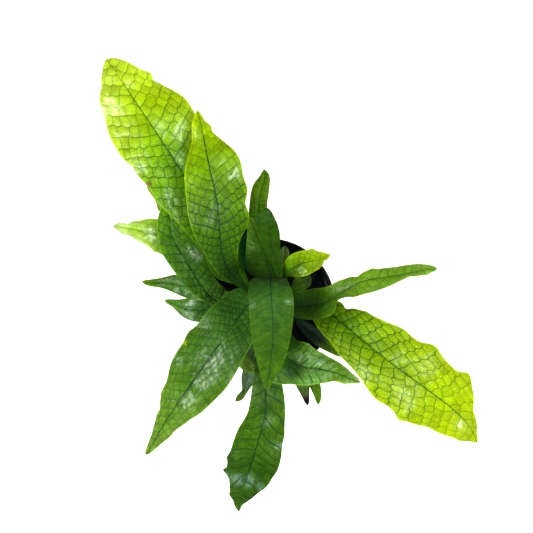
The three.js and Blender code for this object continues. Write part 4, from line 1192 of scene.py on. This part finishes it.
# %% A body drawn from ring to ring
def draw_rings(name, rings, sides):
    """Extrudes a disc through rings of (radius, height) in millimetres; closed at both ends."""
    radius, height = rings[0]
    piece = start_with(bpy.ops.mesh.primitive_circle_add, vertices=sides, radius=radius * MM,
                       fill_type="NGON", location=(0, 0, height * MM))
    piece.name = name
    bpy.ops.object.transform_apply(location=True)
    with edit_mode():
        for wider, higher in rings[1:]:
            bpy.ops.mesh.extrude_region_move(
                TRANSFORM_OT_translate={"value": (0, 0, (higher - height) * MM)})
            grow = wider / radius
            bpy.ops.transform.resize(value=(grow, grow, 1), center_override=(0, 0, higher * MM))
            radius, height = wider, higher
        bpy.ops.mesh.select_all(action="SELECT")
        bpy.ops.mesh.normals_make_consistent(inside=False)
    return piece


# %% Cutting with rods
SLIVER = 0.05


def cut_with(piece, cutter):
    """Cuts one piece with another, which is then removed, and clears the slivers it leaves."""
    knife = piece.modifiers.new("cut", "BOOLEAN")
    knife.object = cutter
    knife.solver = "EXACT"
    only(piece)
    bpy.ops.object.modifier_apply(modifier="cut")
    bpy.data.objects.remove(cutter)
    with edit_mode():
        bpy.ops.mesh.remove_doubles(threshold=SLIVER * MM)
        bpy.ops.mesh.dissolve_degenerate(threshold=SLIVER * MM)
        bpy.ops.mesh.quads_convert_to_tris()
        bpy.ops.mesh.dissolve_degenerate(threshold=SLIVER * MM)


def upright_rods(places, radius, bottom, top, sides):
    """Upright rods at places in millimetres, joined in one cutter."""
    rods = [start_with(bpy.ops.mesh.primitive_cylinder_add, vertices=sides, radius=radius * MM,
                       depth=(top - bottom) * MM, location=(x * MM, y * MM, (top + bottom) / 2 * MM))
            for x, y in places]
    only(*rods)
    bpy.ops.object.join()
    bpy.ops.object.transform_apply(location=True)
    return bpy.context.object


def bead(radius, height, size):
    """The top of a small bead, from its outer foot to its inner foot."""
    return [(radius + size * math.cos(a), height + size * math.sin(a))
            for a in np.radians((20, 60, 95, 130, 165))]


print("rods and beads ready")

# %% The pot's rings
POT_SIDES = 144
WALL = 1.3
DRAIN_HOLES, DRAIN_RING, DRAIN_RADIUS = 6, 30, 4
pot_rings = [
    (39.5, 0.0), (40.8, 0.0), (41.6, 0.4), (42.0, 1.2), (43.2, 9.0), (50.0, 55.0), (55.2, 90.0),
    (55.6, 90.9), (57.6, 91.6), (58.0, 92.3), (59.2, 98.0), (59.9, 103.6),
    *bead(59.1, 104.2, 0.8), *bead(57.8, 104.35, 0.6), (57.0, 103.4), (56.7, 93.4), (54.4, 92.4),
    (53.9, 91.2), (50.0 - WALL, 55.0), (43.0 - WALL, 9.0), (40.9, 3.0), (40.2, 2.5),
]
pot = draw_rings("grower_pot", pot_rings, POT_SIDES)
turns = [math.tau * (k + 0.5) / DRAIN_HOLES for k in range(DRAIN_HOLES)]
drains = [(DRAIN_RING * math.cos(turn), DRAIN_RING * math.sin(turn)) for turn in turns]
cut_with(pot, upright_rods(drains, DRAIN_RADIUS, bottom=-1, top=4, sides=32))
bpy.ops.object.shade_smooth_by_angle(angle=math.radians(40))
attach(pot, "root")
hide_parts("pot")
print("pot:", len(pot.data.polygons), "faces")

# %% [markdown]
# Black moulded plastic isn't evenly black. It has a fine grain from the mould, faint
# upright scuffs from being stacked, and dried dust, most of it low down. The dust is a
# shared group, because the soil takes it as well.

# %% Dust
dust_group, dust_in, dust_out = new_group(
    "dry_dust", [("Amount", NUMBER), ("Size", NUMBER)], [("Mask", NUMBER)])
place = place_in(dust_group)
clouds = noise(place, dust_in["Size"], 6.0, Roughness=0.7)
specks = noise(place, 1400.0, 1.0)
put(dust_out["Mask"], times(ramp(clouds, 0.48, 0.72), ramp(specks, 0.35, 0.7), dust_in["Amount"]))
print("dust group:", len(dust_group.nodes), "nodes")

# %% The pot's finish
pot_finish, tree, surface = new_finish("black_pot_plastic")
place = place_in(tree)
dust = use(tree, dust_group, Amount=ramp(parts_of(place)[2], 0.0, 0.07, 0.75, 0.12), Size=38.0)["Mask"]
upright_place = add(tree, "ShaderNodeMapping", Vector=place, Scale=(1, 1, 0.06)).outputs[0]
scuffed = ramp(noise(upright_place, 420.0, 4.0), 0.6, 0.72)
black = blend(times(scuffed, 0.35), (0.0032, 0.0042, 0.0068), (0.014, 0.016, 0.02))
rough = figure("MULTIPLY_ADD", dust, 0.45, figure("MULTIPLY_ADD", scuffed, 0.14, 0.3))
feed(surface, Base_Color=blend(dust, black, (0.1, 0.078, 0.055)), Specular_IOR_Level=0.22,
     Roughness=rough, Normal=bump(noise(place, 1500.0), 0.25, 0.0002))
pot.data.materials.append(pot_finish)
print("pot finish:", len(tree.nodes), "nodes")

# %% [markdown]
# ## The potting soil
# The mix is fine peat with bits of bark. Its top is a lumpy surface, drawn like the pot
# from ring to ring and then moved by a slow drift, and loose crumbs lie on it. One crumb
# is modelled and copied with a turn and a size of its own.

# %% The soil's body
ROD_BOTTOM, ROD_TOP = 81.4, 110
SOIL_EDGE = 88


def soil_height(radius):
    """The soil's top without its lumps, at a distance from the middle."""
    return np.interp(radius, (0, 30, 35, 41, 47, 52.9), (93, 93, 92, 90.5, 89, SOIL_EDGE))


inward = np.linspace(52.5, 0.6, 44)
soil_rings = [(40.2, 2.85), (40.4, 3.2), (46.5, 45.0), (52.7, 87.3), (52.9, SOIL_EDGE),
              *[(radius, float(soil_height(radius))) for radius in inward]]
soil = draw_rings("soil_fill", soil_rings, 150)
points = read_points(soil.data) / MM
x, y = points[:, 0], points[:, 1]
away = np.hypot(x, y)
lumps = 0.55 * np.sin(0.55 * x + 1) * np.cos(0.6 * y) + 0.3 * np.sin(1.3 * y + 0.6 * x) * np.cos(1.1 * x)
lumps += 0.22 * np.sin(2.7 * x + 1.9 * y) * np.sin(2.3 * y - 1.1 * x)
on_top = (points[:, 2] > SOIL_EDGE + 0.05) * smooth(away, 1, 6)
points[:, 2] += on_top * (lumps * smooth(away, 22, 36) + 0.25 * lumps)
write_points(soil.data, points * MM)
cut_with(soil, upright_rods(roots, 2.3, ROD_BOTTOM, ROD_TOP, sides=10))
bpy.ops.object.shade_smooth_by_angle(angle=math.radians(50))
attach(soil, "root")
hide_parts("soil")
print("soil:", len(soil.data.polygons), "faces")


# %% Copies of one small piece
def scatter(name, shape, places, turns, sizes):
    """Copies a small closed shape to places in millimetres, all joined in one piece."""
    start = read_points(shape.data)
    faces = [list(face.vertices) for face in shape.data.polygons]
    moved = np.einsum("nij,nvj->nvi", turns, start[None] * sizes[:, None]) + places[:, None]
    corners = [[corner + len(start) * k for corner in face] for k in range(len(places)) for face in faces]
    mesh = bpy.data.meshes.new(name)
    mesh.from_pydata((moved.reshape(-1, 3) * MM).tolist(), [], corners)
    keep(mesh, "tone", random.random(len(places)).repeat(len(start)))
    piece = bpy.data.objects.new(name, mesh)
    scene.collection.objects.link(piece)
    bpy.data.objects.remove(shape)
    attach(piece, "root")
    return piece


def any_turns(count):
    """Random rotations, as matrices."""
    q = random.normal(size=(count, 4))
    w, x, y, z = (q / lengths_of(q)).T
    rows = [[1 - 2 * (y * y + z * z), 2 * (x * y - z * w), 2 * (x * z + y * w)],
            [2 * (x * y + z * w), 1 - 2 * (x * x + z * z), 2 * (y * z - x * w)],
            [2 * (x * z - y * w), 2 * (y * z + x * w), 1 - 2 * (x * x + y * y)]]
    return np.array(rows).transpose(2, 0, 1)


# %% The crumbs
CRUMBS = 1300
CRUMB_RING = 51.6
crumb = start_with(bpy.ops.mesh.primitive_ico_sphere_add, subdivisions=1, radius=1)
rounded = read_points(crumb.data)
uneven = 0.22 * np.sin(5.1 * rounded[:, :1] + 2.3 * rounded[:, 1:2] + 3.7 * rounded[:, 2:])
write_points(crumb.data, rounded * (1 + uneven))
radius = CRUMB_RING * np.sqrt(random.random(CRUMBS))
around = random.random(CRUMBS) * math.tau
size = 0.35 + 1.35 * random.random(CRUMBS) ** 3
sizes = size[:, None] * np.column_stack([
    np.ones(CRUMBS), 0.75 + 0.25 * random.random(CRUMBS), 0.45 + 0.4 * random.random(CRUMBS)])
height = soil_height(radius) + 0.3 * size
places = np.column_stack([radius * np.cos(around), radius * np.sin(around), height])
crumbs = scatter("soil_crumbs", crumb, places, any_turns(CRUMBS), sizes)
print("crumbs:", CRUMBS)


# %% The soil's finish
def earth_finish(name, deep, bark, spread):
    """Peat with bark, darkened further as painted shade: clotted colours, matt, with a coarse and a fine
    relief.
    """
    finish, tree, surface = new_finish(name)
    place = place_in(tree)
    clots = add(tree, "ShaderNodeTexVoronoi", Vector=place, Scale=420.0).outputs["Distance"]
    drift = noise(place, 180.0, 5.0, Roughness=0.65)
    share = figure("MULTIPLY_ADD", stored(tree, "tone")["Fac"], spread, ramp(drift, 0.42, 0.7, 0.0, 0.6))
    dust = use(tree, dust_group, Amount=0.35, Size=90.0)["Mask"]
    feed(surface, Base_Color=blend(dust, blend(share, deep, bark), (0.035, 0.036, 0.042)),
         Specular_IOR_Level=0.25, Roughness=ramp(drift, 0.3, 0.7, 0.95, 0.75),
         Normal=bump(figure("MULTIPLY_ADD", clots, -0.8, drift), 0.7, 0.0008))
    return finish


# Peat is dark, and these colours are darker and bluer still: painted shade inside the pot.
soil.data.materials.append(earth_finish("peat", (0.0022, 0.0034, 0.006), (0.006, 0.0075, 0.011), 0.0))
crumbs.data.materials.append(
    earth_finish("bark_crumbs", (0.0025, 0.0038, 0.0065), (0.022, 0.022, 0.026), 0.6))
print("soil finish ready")

# %% [markdown]
# ## The rhizome
# The fronds grow from a creeping stem as thick as a finger, which lies on the soil and is
# covered with papery brown scales. Three branches are tubes bent along smooth paths. They
# are fused by a remesh, holes are cut for the stems, and one scale is copied all over.

# %% The rhizome's branches
BED = 93.35
THICKNESS = 5.3
FLATNESS = 0.72
END_ROUNDING = 3.0
BRANCHES = [
    [(-25, 3), (-18, 2), (-9, 0), (1, 0), (10, 4), (18, 2), (24, -1)],
    [(-21, 18), (-15, 15), (-5, 8), (1, 0), (0, -12), (-7, -17), (-12, -21)],
    [(2, 20), (1, 13), (-1, 5), (8, -9), (18, -15)],
]
paths = [Spline([(x, y, BED) for x, y in branch]) for branch in BRANCHES]


def rhizome_shell(path, share, angle, extra=0.0):
    """Points on a branch's surface; the angle goes from 0 on its right over the top."""
    ahead = path.direction(share)
    right = np.column_stack([ahead[:, 1], -ahead[:, 0], np.zeros(len(ahead))])
    ends = np.clip(np.minimum(share, 1 - share) * path.length / END_ROUNDING, 0, 1)
    thick = THICKNESS * np.sqrt(np.clip(1 - (1 - ends) ** 2, 0.01, 1)) + extra
    point = path.at(share) + right * (thick * np.cos(angle))[:, None]
    knobs = 1 + 0.12 * np.sin(1.3 * point[:, 0] + 0.7) * np.cos(1.1 * point[:, 1])
    point[:, 2] = BED + np.maximum(FLATNESS * knobs * thick * np.sin(angle), 0)
    return point, ahead, right


def bend_branch(path):
    """A cylinder cut into rings and bent along a path."""
    rings = round(path.length / 1.5)
    branch = start_with(bpy.ops.mesh.primitive_cylinder_add, vertices=24, radius=1, depth=2)
    with edit_mode():
        for cut in range(1, rings):
            bpy.ops.mesh.select_all(action="SELECT")
            bpy.ops.mesh.bisect(plane_co=(0, 0, -1 + 2 * cut / rings), plane_no=(0, 0, 1))
    x, y, z = read_points(branch.data).T
    bent, _, _ = rhizome_shell(path, (z + 1) / 2, np.arctan2(y, x))
    write_points(branch.data, bent * MM)
    return branch


print("branches:", [round(path.length) for path in paths], "mm long")

# %% The rhizome's body
only(*[bend_branch(path) for path in paths])
bpy.ops.object.join()
rhizome = bpy.context.object
rhizome.name = "rhizome_body"
fusing = rhizome.modifiers.new("fusing", "REMESH")
fusing.mode = "VOXEL"
fusing.voxel_size = 0.6 * MM
bpy.ops.object.modifier_apply(modifier="fusing")
cut_with(rhizome, upright_rods(roots, 2.1, ROD_BOTTOM, ROD_TOP, sides=12))
bpy.ops.object.shade_smooth_by_angle(angle=math.radians(50))
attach(rhizome, "root")
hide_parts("rhizome")
print("rhizome:", len(rhizome.data.polygons), "faces")

# %% One scale
WIDEST_PART = 0.35
scale = start_with(bpy.ops.mesh.primitive_cone_add, vertices=6, radius1=0.5, radius2=0.0, depth=1,
                   location=(0, 0, 0.5))
bpy.ops.object.transform_apply(location=True)
with edit_mode():
    bpy.ops.mesh.bisect(plane_co=(0, 0, WIDEST_PART), plane_no=(0, 0, 1))
    bpy.ops.transform.resize(value=(1.3, 1, 1), center_override=(0, 0, WIDEST_PART))


def frames(forward, outward):
    """Rotations that lay a shape's +Z along forward with its +Y facing outward."""
    forward = forward / lengths_of(forward)
    outward = outward - forward * (forward * outward).sum(1)[:, None]
    outward /= lengths_of(outward)
    return np.stack([np.cross(outward, forward), outward, forward], axis=2)


print("scale:", len(scale.data.polygons), "faces")

# %% The rhizome's scales
PER_MILLIMETRE = 7
PER_STEM = 9
UP = np.array([0, 0, 1])
spots, aims, faces_out = [], [], []
for path in paths:
    count = round(path.length * PER_MILLIMETRE)
    share, angle = random.random(count), np.radians(random.uniform(8, 172, count))
    point, ahead, right = rhizome_shell(path, share, angle, -0.25)
    outward = right * np.cos(angle)[:, None] + UP * np.sin(angle)[:, None]
    sway = right * random.normal(0, 0.35, count)[:, None]
    spots.append(point)
    aims.append(ahead + outward * random.uniform(0.15, 0.5, count)[:, None] + sway)
    faces_out.append(outward)
for root in roots:
    around = np.arange(PER_STEM) * math.tau / PER_STEM + random.random()
    outward = np.column_stack([np.cos(around), np.sin(around), np.zeros(PER_STEM)])
    foot = np.array([*root, 0]) + outward * 2.3
    on_soil = np.maximum(soil_height(np.hypot(foot[:, 0], foot[:, 1])), 92.5)
    foot[:, 2] = on_soil + random.uniform(0, 2.6, PER_STEM)
    spots.append(foot)
    aims.append(UP + outward * random.uniform(0.0, 0.5, PER_STEM)[:, None])
    faces_out.append(outward)
spots, aims, faces_out = (np.vstack(parts) for parts in (spots, aims, faces_out))
long = random.uniform(2.2, 4.0, len(spots))
scale_sizes = np.column_stack([long * 0.42, np.full(len(spots), 0.28), long])
scales = scatter("rhizome_scale_coat", scale, spots, frames(aims, faces_out), scale_sizes)
print("scales:", len(spots))


# %% The rhizome's finish
def scaly_finish(name, deep, pale):
    """Papery brown skin: streaked and matt, paler here and there."""
    finish, tree, surface = new_finish(name)
    place = place_in(tree)
    streaks = noise(place, 900.0, 4.0, Distortion=1.5)
    drift = noise(place, 140.0, 3.0)
    share = figure("MULTIPLY_ADD", stored(tree, "tone")["Fac"], 0.6, ramp(drift, 0.35, 0.7, 0.0, 0.4))
    feed(surface, Base_Color=blend(ramp(streaks, 0.55, 0.7, 0.0, 0.4), blend(share, deep, pale), deep),
         Roughness=ramp(streaks, 0.3, 0.7, 0.85, 0.6), Normal=bump(streaks, 0.5, 0.0003))
    return finish


rhizome.data.materials.append(scaly_finish("rhizome_skin", (0.014, 0.012, 0.009), (0.05, 0.038, 0.026)))
scales.data.materials.append(scaly_finish("papery_scales", (0.02, 0.015, 0.011), (0.1, 0.075, 0.05)))
print("rhizome finish ready")
